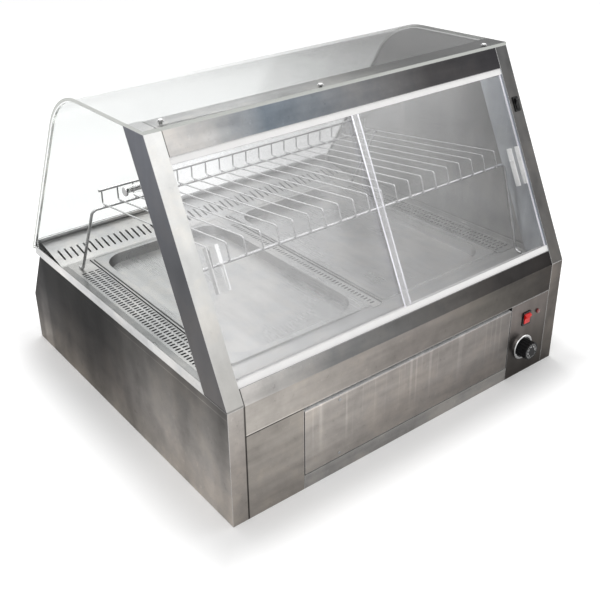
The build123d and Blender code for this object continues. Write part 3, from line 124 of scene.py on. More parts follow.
class Finish:
    """One material's node tree, written as expressions on signals."""

    def __init__(self, name):
        self.material = bpy.data.materials.new(name)
        self.material.use_nodes = True
        self.tree = self.material.node_tree
        self.tree.nodes.clear()
        self.place = self.node("ShaderNodeTexCoord", output="Object")
        self.x, self.y, self.z = self.parts(self.place)
        self.normal = self.node("ShaderNodeTexCoord", output="Normal")
        self.nx, self.ny, self.nz = self.parts(self.normal)

    def node(self, kind, settings=None, sockets=(), output=0):
        """Adds a node: its settings first, then values or links of its sockets."""
        made = self.tree.nodes.new(kind)
        for key, value in (settings or {}).items():
            if key == "stops":
                ramp = made.color_ramp
                while len(ramp.elements) < len(value):
                    ramp.elements.new(1)
                for element, (place, colour) in zip(ramp.elements, value):
                    element.position = place
                    element.color = (*colour, 1)
            else:
                setattr(made, key, value)
        for key, value in (sockets.items() if isinstance(sockets, dict) else enumerate(sockets)):
            socket = made.inputs[key]
            if isinstance(value, Signal):
                self.tree.links.new(value.socket, socket)
            elif socket.type == "RGBA" and len(value) == 3:
                socket.default_value = (*value, 1)
            else:
                socket.default_value = value
        return Signal(self, made.outputs[output]) if len(made.outputs) else None

    def parts(self, vector):
        """The three values of a vector."""
        separate = self.tree.nodes.new("ShaderNodeSeparateXYZ")
        self.tree.links.new(vector.socket, separate.inputs[0])
        return [Signal(self, socket) for socket in separate.outputs]

    def ease(self, value, low, high):
        """0 below low, 1 above high and smooth between; low may be the larger."""
        return self.node("ShaderNodeMapRange", {"interpolation_type": "SMOOTHSTEP"},
                         {0: value, 1: low, 2: high, 3: 0.0, 4: 1.0})

    def spread(self, value, low, high):
        """0 at low, 1 at high and straight between, held at both ends."""
        return self.node("ShaderNodeMapRange", {"clamp": True},
                         {0: value, 1: low, 2: high, 3: 0.0, 4: 1.0})

    def faced(self, facing):
        """1 on faces that look one of the named ways."""
        turned = self.node("ShaderNodeVectorMath", {"operation": "DOT_PRODUCT"},
                           (self.normal, FACINGS[facing]), output="Value")
        return self.ease(turned, 0.955, 0.985)

    def noise(self, scale, detail=2.0, rough=0.5, shift=0.0):
        """Noise of a scale along each axis, in lumps per metre."""
        stretched = self.node("ShaderNodeVectorMath", {"operation": "MULTIPLY"}, (self.place, scale))
        moved = self.node("ShaderNodeVectorMath", {"operation": "ADD"}, (stretched, (shift, shift, shift)))
        return self.node("ShaderNodeTexNoise", None,
                         {"Vector": moved, "Scale": 1.0, "Detail": detail, "Roughness": rough})

    def marks(self, low, high, scale, **noise):
        """Noise that is 0 up to low and 1 from high on."""
        return self.spread(self.noise(scale, **noise), low, high)

    def ramp(self, value, colours):
        """Colours spaced evenly along a 0 to 1 value."""
        last = max(len(colours) - 1, 1)
        stops = [(i / last, colour) for i, colour in enumerate(colours)]
        return self.node("ShaderNodeValToRGB", {"stops": stops}, (value,))

    def mix(self, factor, first, second):
        """The first colour at 0 and the second at 1."""
        return self.node("ShaderNodeMix", {"data_type": "RGBA"}, {0: factor, 6: first, 7: second},
                         output=2)

    def plain(self, colour):
        """One colour as a signal."""
        return self.mix(0.0, colour, colour)

    def clamp(self, value):
        """A value held between 0 and 1."""
        return self.node("ShaderNodeClamp", None, (value,))

    def shade(self, colour, factor):
        """A colour made darker or lighter by a value."""
        return self.node("ShaderNodeVectorMath", {"operation": "SCALE"}, {0: colour, "Scale": factor})

    def bump(self, height, depth):
        """Normal of a height field that is depth metres deep."""
        return self.node("ShaderNodeBump", None, {"Strength": 1.0, "Distance": depth, "Height": height})

    def folds(self, radius):
        """1 along sharp outside and inside edges, 0 on flat faces."""
        rounded = self.node("ShaderNodeBevel", {"samples": 6}, {"Radius": radius})
        flat = self.node("ShaderNodeNewGeometry", output="Normal")
        same = self.node("ShaderNodeVectorMath", {"operation": "DOT_PRODUCT"}, (rounded, flat),
                         output="Value")
        return self.spread(1 - same, 0.02, 0.22)

    def principled(self, **sockets):
        """Principled shader; a socket's name has underscores for its spaces."""
        named = {key.replace("_", " "): value for key, value in sockets.items()}
        return self.node("ShaderNodeBsdfPrincipled", None, named)

    def done(self, shader):
        """The finished material."""
        self.node("ShaderNodeOutputMaterial", None, {"Surface": shader})
        return self.material


def dress(material, *nodes):
    """Gives a finish to CAD nodes."""
    for name in nodes:
        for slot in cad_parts[name].material_slots:
            slot.link = "DATA"
            slot.material = material


# Colour of the painted highlight along folds and cut edges.
FOLD_HIGHLIGHT_TONE = grey(206)
GREASE = (1.03, 0.985, 0.93)
GREASE_STRENGTH = 0.4
CLOUD_SHARE, STAIN_SHARE, WIPE_SHARE, SPOT_SHARE = 1.5, 1.6, 1.8, 0.9


def run_along(axis, across, along):
    """Noise scale of marks that run along an axis, in marks per metre across and along it."""
    return {"x": (along, across, across), "y": (across, along, across), "z": (across, across, along)}[axis]


def painted(finish, base, faces):
    """The base colour, with each facing's painted reflection and shade colours over it."""
    colour = finish.plain(base)
    for face in faces:
        along = finish.spread(getattr(finish, face.axis), face.low, face.high)
        own = finish.ramp(along, face.colours)
        if face.far:
            aside = finish.ease(getattr(finish, face.far.axis), face.far.low, face.far.high)
            own = finish.mix(aside, own, finish.ramp(along, face.far.colours))
        colour = finish.mix(finish.faced(face.facing), colour, own)
    return colour


def sheet_steel(name, base, smudge, faces=(), lines=(), grain="x", drips=0.0, rough=0.34, edge=0.7,
                streak=(40, 4), graze=0.55, dull_top=0.0, relief=1.0):
    """Brushed sheet that was handled and wiped, with painted reflection, shade and highlights.

    Faces have painted reflection and shade colours by facing, and lines are drawn over them: a light
    line is a painted highlight and a dark one painted shade in a seam. Smudge and drips are the strength
    of the soiling, edge that of the painted highlight along folds, graze that of mirroring at a glance,
    dull_top that of the dulling of upward faces, and relief that of the grain's depth. Streak is the
    number of wipe marks in a metre, across and along the grain."""
    settings = bpy.context.scene.case_steel
    finish = Finish(name)
    brushed = finish.noise(run_along(grain, 900.0, 7.0), detail=3.0, rough=0.6)
    clouds = finish.marks(0.30, 0.70, (7, 7, 7), detail=3.0, rough=0.5, shift=3.1)
    stains = finish.marks(0.28, 0.72, (26, 26, 26), detail=6.0, rough=0.62, shift=5.3)
    wipes = finish.marks(0.28, 0.72, run_along(grain, *streak), detail=2.0, rough=0.5, shift=9.4)
    spots = finish.noise((80, 80, 80), detail=5.0, rough=0.7, shift=7.7)
    soiling = (clouds - 0.5) * CLOUD_SHARE + (stains - 0.5) * STAIN_SHARE + (wipes - 0.5) * WIPE_SHARE
    soiling = soiling + finish.ease(spots, 0.60, 0.72) * SPOT_SHARE - finish.ease(spots, 0.40, 0.28)
    value = 1 + (brushed - 0.5) * settings.grain_contrast + soiling * smudge
    if drips:
        runs = finish.noise((85, 85, 1.6), detail=3.0, rough=0.6, shift=12.0)
        value = value + finish.ease(runs, 0.54, 0.66) * finish.ease(finish.z, 0.03, 0.16) * drips
    # Lines: light ones are painted highlights, dark ones painted shade in seams, where the fold highlight is
    # left off.
    seams = 1.0
    for line in lines:
        off_line = abs(getattr(finish, line.axis) - line.place)
        on_line = finish.ease(off_line, line.half_width, line.half_width * 0.4)
        if line.facing:
            on_line = on_line * finish.faced(line.facing)
        if line.change < 0:
            seams = (1 - on_line) * seams
        value = value * (1 + on_line * line.change)
    colour = finish.shade(painted(finish, base, faces), value)
    greasy = finish.node("ShaderNodeVectorMath", {"operation": "MULTIPLY"}, (colour, GREASE))
    colour = finish.mix(finish.ease(stains + (clouds - 0.5), 0.35, 0.85) * GREASE_STRENGTH, colour, greasy)
    # Painted highlight along folds and cut edges, kept off the painted shade of the seams.
    if edge:
        colour = finish.mix(finish.folds(settings.fold_highlight_radius) * edge * seams, colour, FOLD_HIGHLIGHT_TONE)
    metallic = 1.0
    if dull_top:
        metallic = 1 - finish.ease(finish.nz, 0.9, 0.98) * dull_top
    roughness = rough + (clouds - 0.5) * 0.10 + (brushed - 0.5) * 0.10
    return finish.done(finish.principled(
        Base_Color=colour, Metallic=metallic, Roughness=roughness, Specular_Tint=(graze, graze, graze),
        Normal=finish.bump(brushed, settings.grain_depth * relief)))


def plain_steel(name, dark, light, rough, lumps=60.0):
    """Small bright or dull metal piece: lighter on top as a painted highlight and darker below as painted
    shade, with fine unevenness.
    """
    finish = Finish(name)
    clouds = finish.noise((lumps, lumps, lumps), detail=3.0, rough=0.55)
    colour = finish.mix(finish.ease(finish.nz + (clouds - 0.5) * 0.3, -0.1, 0.9), dark, light)
    return finish.done(finish.principled(
        Base_Color=finish.shade(colour, 1 + (clouds - 0.5) * 0.25), Metallic=1.0,
        Roughness=rough + (clouds - 0.5) * 0.12, Normal=finish.bump(clouds, 0.03 * MM)))


def plastic(name, colour, rough, coat=0.0, specular=0.5):
    """Moulded plastic with a fine skin texture and a little soiling."""
    finish = Finish(name)
    skin = finish.noise((1500, 1500, 1500), detail=2.0, rough=0.6)
    soil = finish.noise((26, 26, 26), detail=4.0, rough=0.6, shift=5.0)
    value = 1 + (skin - 0.5) * 0.06 + (soil - 0.5) * 0.14
    return finish.done(finish.principled(
        Base_Color=finish.shade(finish.plain(colour), value), Roughness=rough + (soil - 0.5) * 0.2,
        Coat_Weight=coat, Specular_IOR_Level=specular, Normal=finish.bump(skin, 0.02 * MM)))


def pane(name, tint, room, reach, edge, rim, mirror, haze, painted_reflection=None, edge_glow=0.0, still=0.035):
    """Clear sheet: see-through, mirroring at a glance, hazed by wiping, with tinted cut edges.

    The mirror shows a painted reflection of a room, whose colours run along X from -reach to reach. Rim
    is a function of the finish that gives 1 on cut edges, and painted_reflection one that gives how much
    more of the painted reflection lies on the faces. Mirror is the most that a glance adds to the
    mirroring, and still the least mirroring. The painted glow on the cut edges has the strength edge_glow."""
    finish = Finish(name)
    glance = finish.node("ShaderNodeLayerWeight", None, {"Blend": 0.5}, output="Facing")
    wiped = finish.marks(0.30, 0.70, (9, 9, 7), detail=4.0, rough=0.6, shift=2.0)
    slanted = finish.node("ShaderNodeMapping", {"vector_type": "POINT"},
                          {"Vector": finish.place, "Rotation": (0.0, 0.7, 0.3), "Scale": (16, 16, 420)})
    scratched = finish.node("ShaderNodeTexNoise", None,
                            {"Vector": slanted, "Scale": 1.0, "Detail": 3.0, "Roughness": 0.65})
    veil = haze * (1 + (wiped - 0.5) * 0.45) + finish.ease(scratched, 0.60, 0.74) * (0.3 * haze)
    amount = (glance ** 5) * mirror + still + veil
    if painted_reflection:
        amount = amount + painted_reflection(finish)
    on_rim = rim(finish)
    amount = finish.clamp(amount + on_rim * 0.85)
    # Painted reflection: the room's colours along X that the mirroring and the haze show.
    colour = finish.ramp(finish.spread(finish.x, -reach, reach), room)
    sockets = {"Base_Color": finish.mix(on_rim, colour, edge), "Metallic": 1.0,
               "Roughness": 0.06 + wiped * 0.06 + 0.9 * haze}
    # Painted glow on the cut edges, as if light came out of them.
    if edge_glow:
        sockets["Emission_Color"] = finish.mix(on_rim * edge_glow, (0.0, 0.0, 0.0), edge)
        sockets["Emission_Strength"] = 1.0
    clear = finish.node("ShaderNodeBsdfTransparent", None, (tint,))
    skin = finish.principled(**sockets)
    return finish.done(finish.node("ShaderNodeMixShader", None, (amount, clear, skin)))


def piece(name, mesh, body, slot, *materials):
    """A new visual piece that rides on a body."""
    made = bpy.data.objects.new(name, mesh)
    bpy.context.scene.collection.objects.link(made)
    for material in materials:
        made.data.materials.append(material)
    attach(made, body)
    return made


def socket_id(tree, name):
    """Identifier of a tree's input, by its name."""
    return next(item.identifier for item in tree.interface.items_tree
                if getattr(item, "in_out", "") == "INPUT" and item.name == name)


def grown(tree, values):
    """Plain mesh that a Geometry Nodes tree makes from the given inputs."""
    carrier = bpy.data.objects.new("carrier", bpy.data.meshes.new("carrier"))
    bpy.context.scene.collection.objects.link(carrier)
    modifier = carrier.modifiers.new("Grow", "NODES")
    modifier.node_group = tree
    for name, value in values.items():
        modifier[socket_id(tree, name)] = value
    graph = bpy.context.evaluated_depsgraph_get()
    graph.update()
    mesh = bpy.data.meshes.new_from_object(carrier.evaluated_get(graph))
    bpy.data.objects.remove(carrier)
    return mesh


def new_tree(name, inputs):
    """Empty Geometry Nodes tree with named inputs of the given socket types."""
    tree = bpy.data.node_groups.new(name, "GeometryNodeTree")
    for label, kind in inputs:
        tree.interface.new_socket(label, in_out="INPUT", socket_type=kind)
    tree.interface.new_socket("Geometry", in_out="OUTPUT", socket_type="NodeSocketGeometry")
    return tree, tree.nodes.new("NodeGroupInput"), tree.nodes.new("NodeGroupOutput")


def close_tree(tree, given, result, end):
    """Ends a tree in Realize Instances and Set Material."""
    real = tree.nodes.new("GeometryNodeRealizeInstances")
    paint = tree.nodes.new("GeometryNodeSetMaterial")
    tree.links.new(result, real.inputs[0])
    tree.links.new(real.outputs[0], paint.inputs["Geometry"])
    tree.links.new(given.outputs["Material"], paint.inputs["Material"])
    tree.links.new(paint.outputs[0], end.inputs[0])


def weld_tree(rows):
    """Rows of small weld beads, each row from its own start point."""
    inputs = [("Count", "NodeSocketInt"), ("Pitch", "NodeSocketFloat"), ("Bead radius", "NodeSocketFloat"),
              ("Bead shape", "NodeSocketVector"), ("Material", "NodeSocketMaterial")]
    inputs += [(f"{row} start", "NodeSocketVector") for row in rows]
    tree, given, end = new_tree("Weld beads", inputs)
    step = tree.nodes.new("ShaderNodeCombineXYZ")
    tree.links.new(given.outputs["Pitch"], step.inputs["X"])
    bead = tree.nodes.new("GeometryNodeMeshIcoSphere")
    bead.inputs["Subdivisions"].default_value = 2
    tree.links.new(given.outputs["Bead radius"], bead.inputs["Radius"])
    joined = tree.nodes.new("GeometryNodeJoinGeometry")
    for row in rows:
        line = tree.nodes.new("GeometryNodeMeshLine")
        tree.links.new(given.outputs["Count"], line.inputs["Count"])
        tree.links.new(given.outputs[f"{row} start"], line.inputs["Start Location"])
        tree.links.new(step.outputs[0], line.inputs["Offset"])
        spots = tree.nodes.new("GeometryNodeInstanceOnPoints")
        tree.links.new(line.outputs[0], spots.inputs["Points"])
        tree.links.new(bead.outputs[0], spots.inputs["Instance"])
        tree.links.new(given.outputs["Bead shape"], spots.inputs["Scale"])
        tree.links.new(spots.outputs[0], joined.inputs[0])
    close_tree(tree, given, joined.outputs[0], end)
    return tree


def rib_tree():
    """Row of round ribs that lie across X, a step apart."""
    inputs = [("Count", "NodeSocketInt"), ("First", "NodeSocketVector"), ("Step", "NodeSocketVector"),
              ("Radius", "NodeSocketFloat"), ("Length", "NodeSocketFloat"),
              ("Material", "NodeSocketMaterial")]
    tree, given, end = new_tree("Grip ribs", inputs)
    line = tree.nodes.new("GeometryNodeMeshLine")
    tree.links.new(given.outputs["Count"], line.inputs["Count"])
    tree.links.new(given.outputs["First"], line.inputs["Start Location"])
    tree.links.new(given.outputs["Step"], line.inputs["Offset"])
    rod = tree.nodes.new("GeometryNodeMeshCylinder")
    rod.inputs["Vertices"].default_value = 12
    tree.links.new(given.outputs["Radius"], rod.inputs["Radius"])
    tree.links.new(given.outputs["Length"], rod.inputs["Depth"])
    ribs = tree.nodes.new("GeometryNodeInstanceOnPoints")
    ribs.inputs["Rotation"].default_value = (0, math.radians(90), 0)
    tree.links.new(line.outputs[0], ribs.inputs["Points"])
    tree.links.new(rod.outputs[0], ribs.inputs["Instance"])
    close_tree(tree, given, ribs.outputs[0], end)
    return tree


def tick_tree():
    """Ring of ticks that point at its middle."""
    inputs = [("Count", "NodeSocketInt"), ("Radius", "NodeSocketFloat"), ("Tick", "NodeSocketVector"),
              ("Material", "NodeSocketMaterial")]
    tree, given, end = new_tree("Dial ticks", inputs)
    ring = tree.nodes.new("GeometryNodeMeshCircle")
    tree.links.new(given.outputs["Count"], ring.inputs["Vertices"])
    tree.links.new(given.outputs["Radius"], ring.inputs["Radius"])
    tick = tree.nodes.new("GeometryNodeMeshCube")
    tree.links.new(given.outputs["Tick"], tick.inputs["Size"])
    place = tree.nodes.new("GeometryNodeInputPosition")
    turned = tree.nodes.new("FunctionNodeAlignEulerToVector")
    turned.axis = "Y"
    tree.links.new(place.outputs[0], turned.inputs["Vector"])
    ticks = tree.nodes.new("GeometryNodeInstanceOnPoints")
    tree.links.new(ring.outputs[0], ticks.inputs["Points"])
    tree.links.new(tick.outputs[0], ticks.inputs["Instance"])
    tree.links.new(turned.outputs[0], ticks.inputs["Rotation"])
    close_tree(tree, given, ticks.outputs[0], end)
    return tree


class CaseSteel(bpy.types.PropertyGroup):
    """Finish of the stainless sheets."""

    # Width of the painted highlight along folds and cut edges.
    fold_highlight_radius: bpy.props.FloatProperty(
        name="Fold radius", description="Width of the highlight light line along folds and cut edges",
        default=2.2 * MM, unit="LENGTH", subtype="DISTANCE")
    grain_depth: bpy.props.FloatProperty(
        name="Grain depth", description="Depth of the brushed grain",
        default=0.03 * MM, unit="LENGTH", subtype="DISTANCE")
    grain_contrast: bpy.props.FloatProperty(
        name="Grain contrast", description="How strongly the brushed grain shows in the colour",
        default=0.09, subtype="FACTOR")


class CaseCabinet(bpy.types.PropertyGroup):
    """Glass and doors."""

    glass_tint: bpy.props.FloatVectorProperty(
        name="Glass tint", description="Colour that the glass lets through",
        default=(0.945, 0.95, 0.948), size=3, subtype="COLOR")
    glass_edge: bpy.props.FloatVectorProperty(
        name="Glass edge", description="Colour of the glass's ground edges",
        default=tone(178, 180, 176), size=3, subtype="COLOR")
    door_haze: bpy.props.FloatProperty(
        name="Door haze", description="How milky the wiped acrylic doors are", default=0.15,
        subtype="FACTOR")


class CaseControls(bpy.types.PropertyGroup):
    """Knob, switches and pilot lamp."""

    knob_colour: bpy.props.FloatVectorProperty(
        name="Knob colour", description="Colour of the thermostat knob",
        default=tone(27, 27, 28), size=3, subtype="COLOR")
    rocker_colour: bpy.props.FloatVectorProperty(
        name="Rocker colour", description="Colour of the main rocker switch",
        default=tone(222, 22, 16), size=3, subtype="COLOR")


class CaseStudio(bpy.types.PropertyGroup):
    """Floor, light and camera."""

    room_light: bpy.props.FloatProperty(
        name="Room light", description="Strength of the light from all round", default=0.6)
    camera_place: bpy.props.FloatVectorProperty(
        name="Camera place", description="Where the camera stands",
        default=(-1.03118, -1.34206, 1.07863), size=3, unit="LENGTH", subtype="XYZ")
    camera_turn: bpy.props.FloatVectorProperty(
        name="Camera turn", description="How the camera is turned", size=3, unit="ROTATION", subtype="EULER",
        default=(math.radians(63.6783), math.radians(2.2215), math.radians(-35.4224)))
    lens: bpy.props.FloatProperty(
        name="Lens", description="Focal length in millimetres on a 36 mm sensor", default=52.06)
    lens_shift: bpy.props.FloatVectorProperty(
        name="Lens shift", description="Shift of the picture sideways and upwards", default=(0.1, -0.0802),
        size=2)


class CASE_OT_base_sheets(bpy.types.Operator):
    """Dress the base's panels, columns and drawer front"""

    bl_idname = "case.base_sheets"
    bl_label = "Base sheets"

    def execute(self, context):
        self.columns_and_sides()
        self.front_panels()
        dress(sheet_steel("Plinth steel", grey(156, 2), smudge=0.2), "plinth_rail")
        dress(sheet_steel("Customer side steel", grey(142, 2), smudge=0.2), "customer_panel")
        dress(sheet_steel("Tray steel", grey(150), smudge=0.12, edge=0.0),
              "drawer_tray", "left_drawer_runner", "right_drawer_runner")
        # Painted shade: the hidden sheets inside the base are near black, so the slots above them look dark.
        dress(sheet_steel("Base inside", grey(14), smudge=0.12, rough=0.7, edge=0.0, graze=0.2),
              "floor_pan", "heat_shield")
        return {"FINISHED"}

    def columns_and_sides(self):
        """Side panels, whose front folds are the corner columns."""
        # Colours by facing and height are painted reflection and shade; the light lines are painted
        # highlights and the dark line at the column painted shade in its seam.
        near_side = (tone(192, 186, 180), tone(170, 165, 161), tone(130, 127, 124), tone(94, 92, 90))
        far_side = (tone(150, 144, 138), tone(84, 81, 79), tone(46, 45, 45), tone(38, 38, 38))
        left_column = (tone(155, 150, 145), tone(148, 142, 137), tone(170, 165, 160))
        dress(sheet_steel("Left side steel", grey(118, 1), grain="z", smudge=0.20, streak=(15, 2.0), faces=(
            Face("left", "z", 0.0, BASE_TOP, near_side,
                 Far("y", FRONT + 180 * MM, FRONT + 480 * MM, far_side)),
            Face("front", "z", 0.0, BASE_TOP, left_column),
            Face("top", "y", FRONT, -FRONT, (grey(112), grey(96)))), lines=(
            Line("z", 222 * MM, 1.4 * MM, 0.5, "left"), Line("y", -FRONT - 52 * MM, 30 * MM, 0.7, "left"),
            Line("x", -INNER, 2 * MM, -0.75))), "left_side_panel")
        dress(sheet_steel("Right side steel", grey(96, 1), grain="z", smudge=0.26, streak=(17, 2.6), faces=(
            Face("front", "z", 0.0, BASE_TOP, (tone(82, 79, 76), tone(112, 107, 103))),
            Face("right", "z", 0.0, BASE_TOP, (tone(150, 146, 142), tone(104, 102, 100))))),
            "right_side_panel")

    def front_panels(self):
        """Fascia with its leaning sill, and the panels and the drawer under it."""
        # The colours along each face are painted reflection and shade, the drawer's light top face and the
        # light lines are painted highlights, the dark lines painted shade in the seams, and the control
        # panel is darker towards the bottom.
        fascia = (tone(171, 166, 160), tone(148, 143, 138), tone(126, 121, 117), tone(93, 90, 86),
                  tone(65, 62, 60))
        sill = (tone(214, 210, 206), tone(124, 124, 124), tone(99, 98, 97), tone(72, 70, 69),
                tone(47, 45, 45))
        column_seam_shade = Line("x", -INNER, 2.8 * MM, -0.85)
        dress(sheet_steel("Fascia steel", grey(110), smudge=0.16, faces=(
            Face("front", "x", -INNER, INNER, fascia), Face("lean", "x", -INNER, INNER, sill)), lines=(
            column_seam_shade, Line("z", 178.5 * MM, 1.8 * MM, 0.35))), "front_fascia")
        dress(sheet_steel("Left front steel", grey(130, 2), smudge=0.16, faces=(
            Face("front", "z", 0.0, FASCIA_FOOT, (tone(152, 147, 142), tone(144, 139, 133))),), lines=(
            column_seam_shade, Line("z", FASCIA_FOOT, 2.6 * MM, -0.8))), "left_front_panel")
        drawer_left, drawer_right, panel_right = -268 * MM, 275 * MM, 392 * MM
        drawer = (tone(163, 158, 153), tone(144, 139, 135), tone(119, 115, 112))
        dress(sheet_steel("Drawer steel", grey(120, 2), smudge=0.16, drips=0.26, dull_top=0.85, faces=(
            Face("front", "x", drawer_left, drawer_right, drawer),
            Face("top", "x", drawer_left, drawer_right, (grey(240), grey(226)))), lines=(
            Line("z", 167.5 * MM, 2.2 * MM, 0.45),)), "drawer_front")
        dress(sheet_steel("Control steel", grey(100, 2), grain="z", smudge=0.16, faces=(
            Face("front", "x", drawer_right, panel_right, (tone(118, 112, 109), tone(100, 95, 92)),
                 Far("z", 160 * MM, 50 * MM, (tone(76, 73, 71), tone(78, 75, 72)))),)), "control_panel")


class CASE_OT_frame_sheets(bpy.types.Operator):
    """Dress the posts, top rail, side rails and cabinet end"""

    bl_idname = "case.frame_sheets"
    bl_label = "Posts and rails"

    def execute(self, context):
        self.posts()
        # Colours along each face are painted reflection and shade; the dark line is painted shade in the
        # seam.
        top_rail = (tone(208, 205, 202), tone(119, 128, 137), tone(112, 113, 115), tone(66, 65, 66),
                    tone(52, 51, 53))
        dress(sheet_steel("Top rail steel", grey(120), smudge=0.18, faces=(
            Face("lean", "x", -INNER, INNER, top_rail),
            Face("top", "x", -HALF, HALF, (grey(240), grey(214), grey(120), grey(90)))), lines=(
            Line("x", -INNER, 2 * MM, -0.8),)), "top_rail")
        dress(sheet_steel("Rail steel", grey(206), grain="y", smudge=0.16, faces=(
            Face("top", "y", FRONT, -FRONT, (grey(186), grey(176), grey(168)),
                 Far("z", BASE_TOP + 8 * MM, BASE_TOP + 15 * MM, (grey(118), grey(106), grey(98)))),
            Face("front", "x", -HALF, HALF, (grey(210), grey(190))),
            Face("right", "y", FRONT, -FRONT, (grey(200), grey(190))))),
            "left_side_rail", "right_side_rail", "glass_rest_rail")
        wall_foot, wall_top = 240 * MM, 650 * MM
        dress(sheet_steel("End wall steel", grey(128), grain="z", smudge=0.12, edge=0.2, relief=0.2, faces=(
            Face("left", "z", wall_foot, wall_top, (grey(156), grey(130), grey(100))),
            Face("right", "z", wall_foot, wall_top, (grey(120), grey(150))))), "right_end_wall")
        return {"FINISHED"}

    def posts(self):
        """Leaning posts; the inner face of the right one looks left."""
        # Painted reflections: the left post's lean face bright towards its top, its outer face bluish and
        # the right post's inner face pale blue; the dark line at the left post's foot is painted shade in
        # the seam.
        left_lean = (tone(190, 188, 184), tone(220, 220, 218), tone(242, 242, 240))
        left_outer = (tone(104, 102, 102), tone(86, 87, 90), tone(112, 114, 120))
        dress(sheet_steel("Left post steel", grey(150), grain="z", smudge=0.07, faces=(
            Face("lean", "z", BASE_TOP, POST_TOP, left_lean),
            Face("left", "z", BASE_TOP, POST_TOP, left_outer),
            Face("top", "x", -HALF, -INNER, (grey(238), grey(238)))), lines=(
            Line("z", BASE_TOP + 1.5 * MM, 2 * MM, -0.4),)), "left_post")
        right_lean = (tone(100, 98, 96), tone(104, 103, 102), grey(86))
        right_inner = (tone(176, 180, 186), tone(190, 195, 202), tone(170, 174, 180))
        dress(sheet_steel("Right post steel", grey(110), grain="z", smudge=0.14, relief=0.2, faces=(
            Face("lean", "z", BASE_TOP, POST_TOP, right_lean),
            Face("left", "z", BASE_TOP, POST_TOP, right_inner),
            Face("right", "z", BASE_TOP, POST_TOP, (tone(104, 104, 106), tone(130, 130, 132))))),
            "right_post")


class CASE_OT_deck(bpy.types.Operator):
    """Dress the deck, the perforated strips and the lift-out pans"""

    bl_idname = "case.deck"
    bl_label = "Deck and pans"

    def execute(self, context):
        # Painted reflection on the faces named here, lighter to the right; the darker base colour of the
        # other faces, near black on the strips' slot walls, is painted shade.
        dress(sheet_steel("Deck steel", grey(60), smudge=0.10, rough=0.38, faces=(
            Face("top", "x", -HALF, HALF, (grey(210), grey(214), grey(224))),
            Face("front", "x", -HALF, HALF, (grey(190), grey(180))))), "deck_plate")
        dress(sheet_steel("Strip steel", grey(24), grain="y", smudge=0.14, rough=0.4, edge=0.35, faces=(
            Face("top", "x", -HALF, HALF, (grey(206), grey(214), grey(200))),)),
            "left_strip", "right_strip", "middle_strip")
        dress(sheet_steel("Pan steel", grey(160), grain="y", smudge=0.09, rough=0.3, faces=(
            Face("top", "x", -HALF, HALF, (grey(218), grey(230), grey(242))),)), "left_pan", "right_pan")
        return {"FINISHED"}


class CASE_OT_glass(bpy.types.Operator):
    """Dress the curved glass, the end glass and the lamp"""

    bl_idname = "case.glass"
    bl_label = "Glass"

    def execute(self, context):
        cabinet = context.scene.case_cabinet
        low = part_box("curved_glass")[0]

        def cut_edges(finish):
            """Ends, front edge and foot of the curved glass."""
            ends = finish.ease(abs(finish.nx), 0.6, 0.9)
            front = finish.ease(finish.y, low.y + 0.4 * MM, low.y + 0.1 * MM)
            foot = finish.ease(finish.z, low.z + 6 * MM, low.z + 3 * MM)
            return finish.clamp(ends + front + foot)

        def end_edges(finish):
            """Narrow edges of the upright end glass."""
            return finish.ease(abs(finish.nx), 0.9, 0.6)

        def dim(finish):
            """Painted reflection of a dim room that the glass mirrors towards the right, with a wavy start
            on its top.
            """
            wavy = finish.x + (finish.noise((4, 4, 4), shift=6.0) - 0.5) * 0.16
            above = finish.ease(finish.ny, 0.75, 0.45)
            on_top = finish.ease(wavy, 0.04, 0.11) * 0.11 + finish.ease(wavy, 0.08, 0.40) * 0.15
            on_customer_side = finish.ease(finish.x, -0.38, 0.12) * 0.34
            return on_top * above + on_customer_side * (1 - above)

        glass_tint, glass_edge = tuple(cabinet.glass_tint), tuple(cabinet.glass_edge)
        # Painted reflection of the room: light on the left, dim on the right.
        room = (grey(245), grey(240), grey(180), grey(126), grey(106))
        dress(pane("Curved glass", glass_tint, room, HALF, glass_edge, cut_edges, mirror=0.5, haze=0.03,
                   painted_reflection=dim, still=0.02), "curved_glass")
        dress(pane("End glass", glass_tint, (grey(235),), HALF, glass_edge, end_edges, mirror=0.06,
                   haze=0.004, still=0.008), "left_end_glass")
        dress(plastic("Lamp glass", grey(236), rough=0.12, coat=0.5), "lamp_tube")
        return {"FINISHED"}


class CASE_OT_doors(bpy.types.Operator):
    """Dress the sliding doors, their handles and tracks"""

    bl_idname = "case.doors"
    bl_label = "Doors"

    def execute(self, context):
        cabinet = context.scene.case_cabinet

        def cut_edges(finish):
            """Cut edges of a door face along the lean or across it."""
            sideways = finish.ease(abs(finish.nx), 0.6, 0.9)
            upright = abs(finish.ny * math.sin(LEAN) + finish.nz * math.cos(LEAN))
            return finish.clamp(sideways + finish.ease(upright, 0.6, 0.9))

        # Painted reflection of the room, dimmer to the right; the cut edges have a painted highlight and a
        # painted glow.
        room = (grey(250), grey(246), grey(248), grey(214), grey(140))
        dress(pane("Door acrylic", (0.97, 0.97, 0.975), room, INNER, tone(244, 243, 250), cut_edges,
                   mirror=0.4, haze=cabinet.door_haze, edge_glow=0.4), "left_door", "right_door")
        dress(pane("Handle acrylic", (0.98, 0.98, 0.98), (grey(235), grey(225)), INNER, grey(235), cut_edges,
                   mirror=0.5, haze=0.05, edge_glow=0.27),
              "left_door_handle", "right_door_handle", "stud_sleeve")
        dress(plastic("Track plastic", grey(247, 1), rough=0.42), "lower_track", "upper_track")
        return {"FINISHED"}


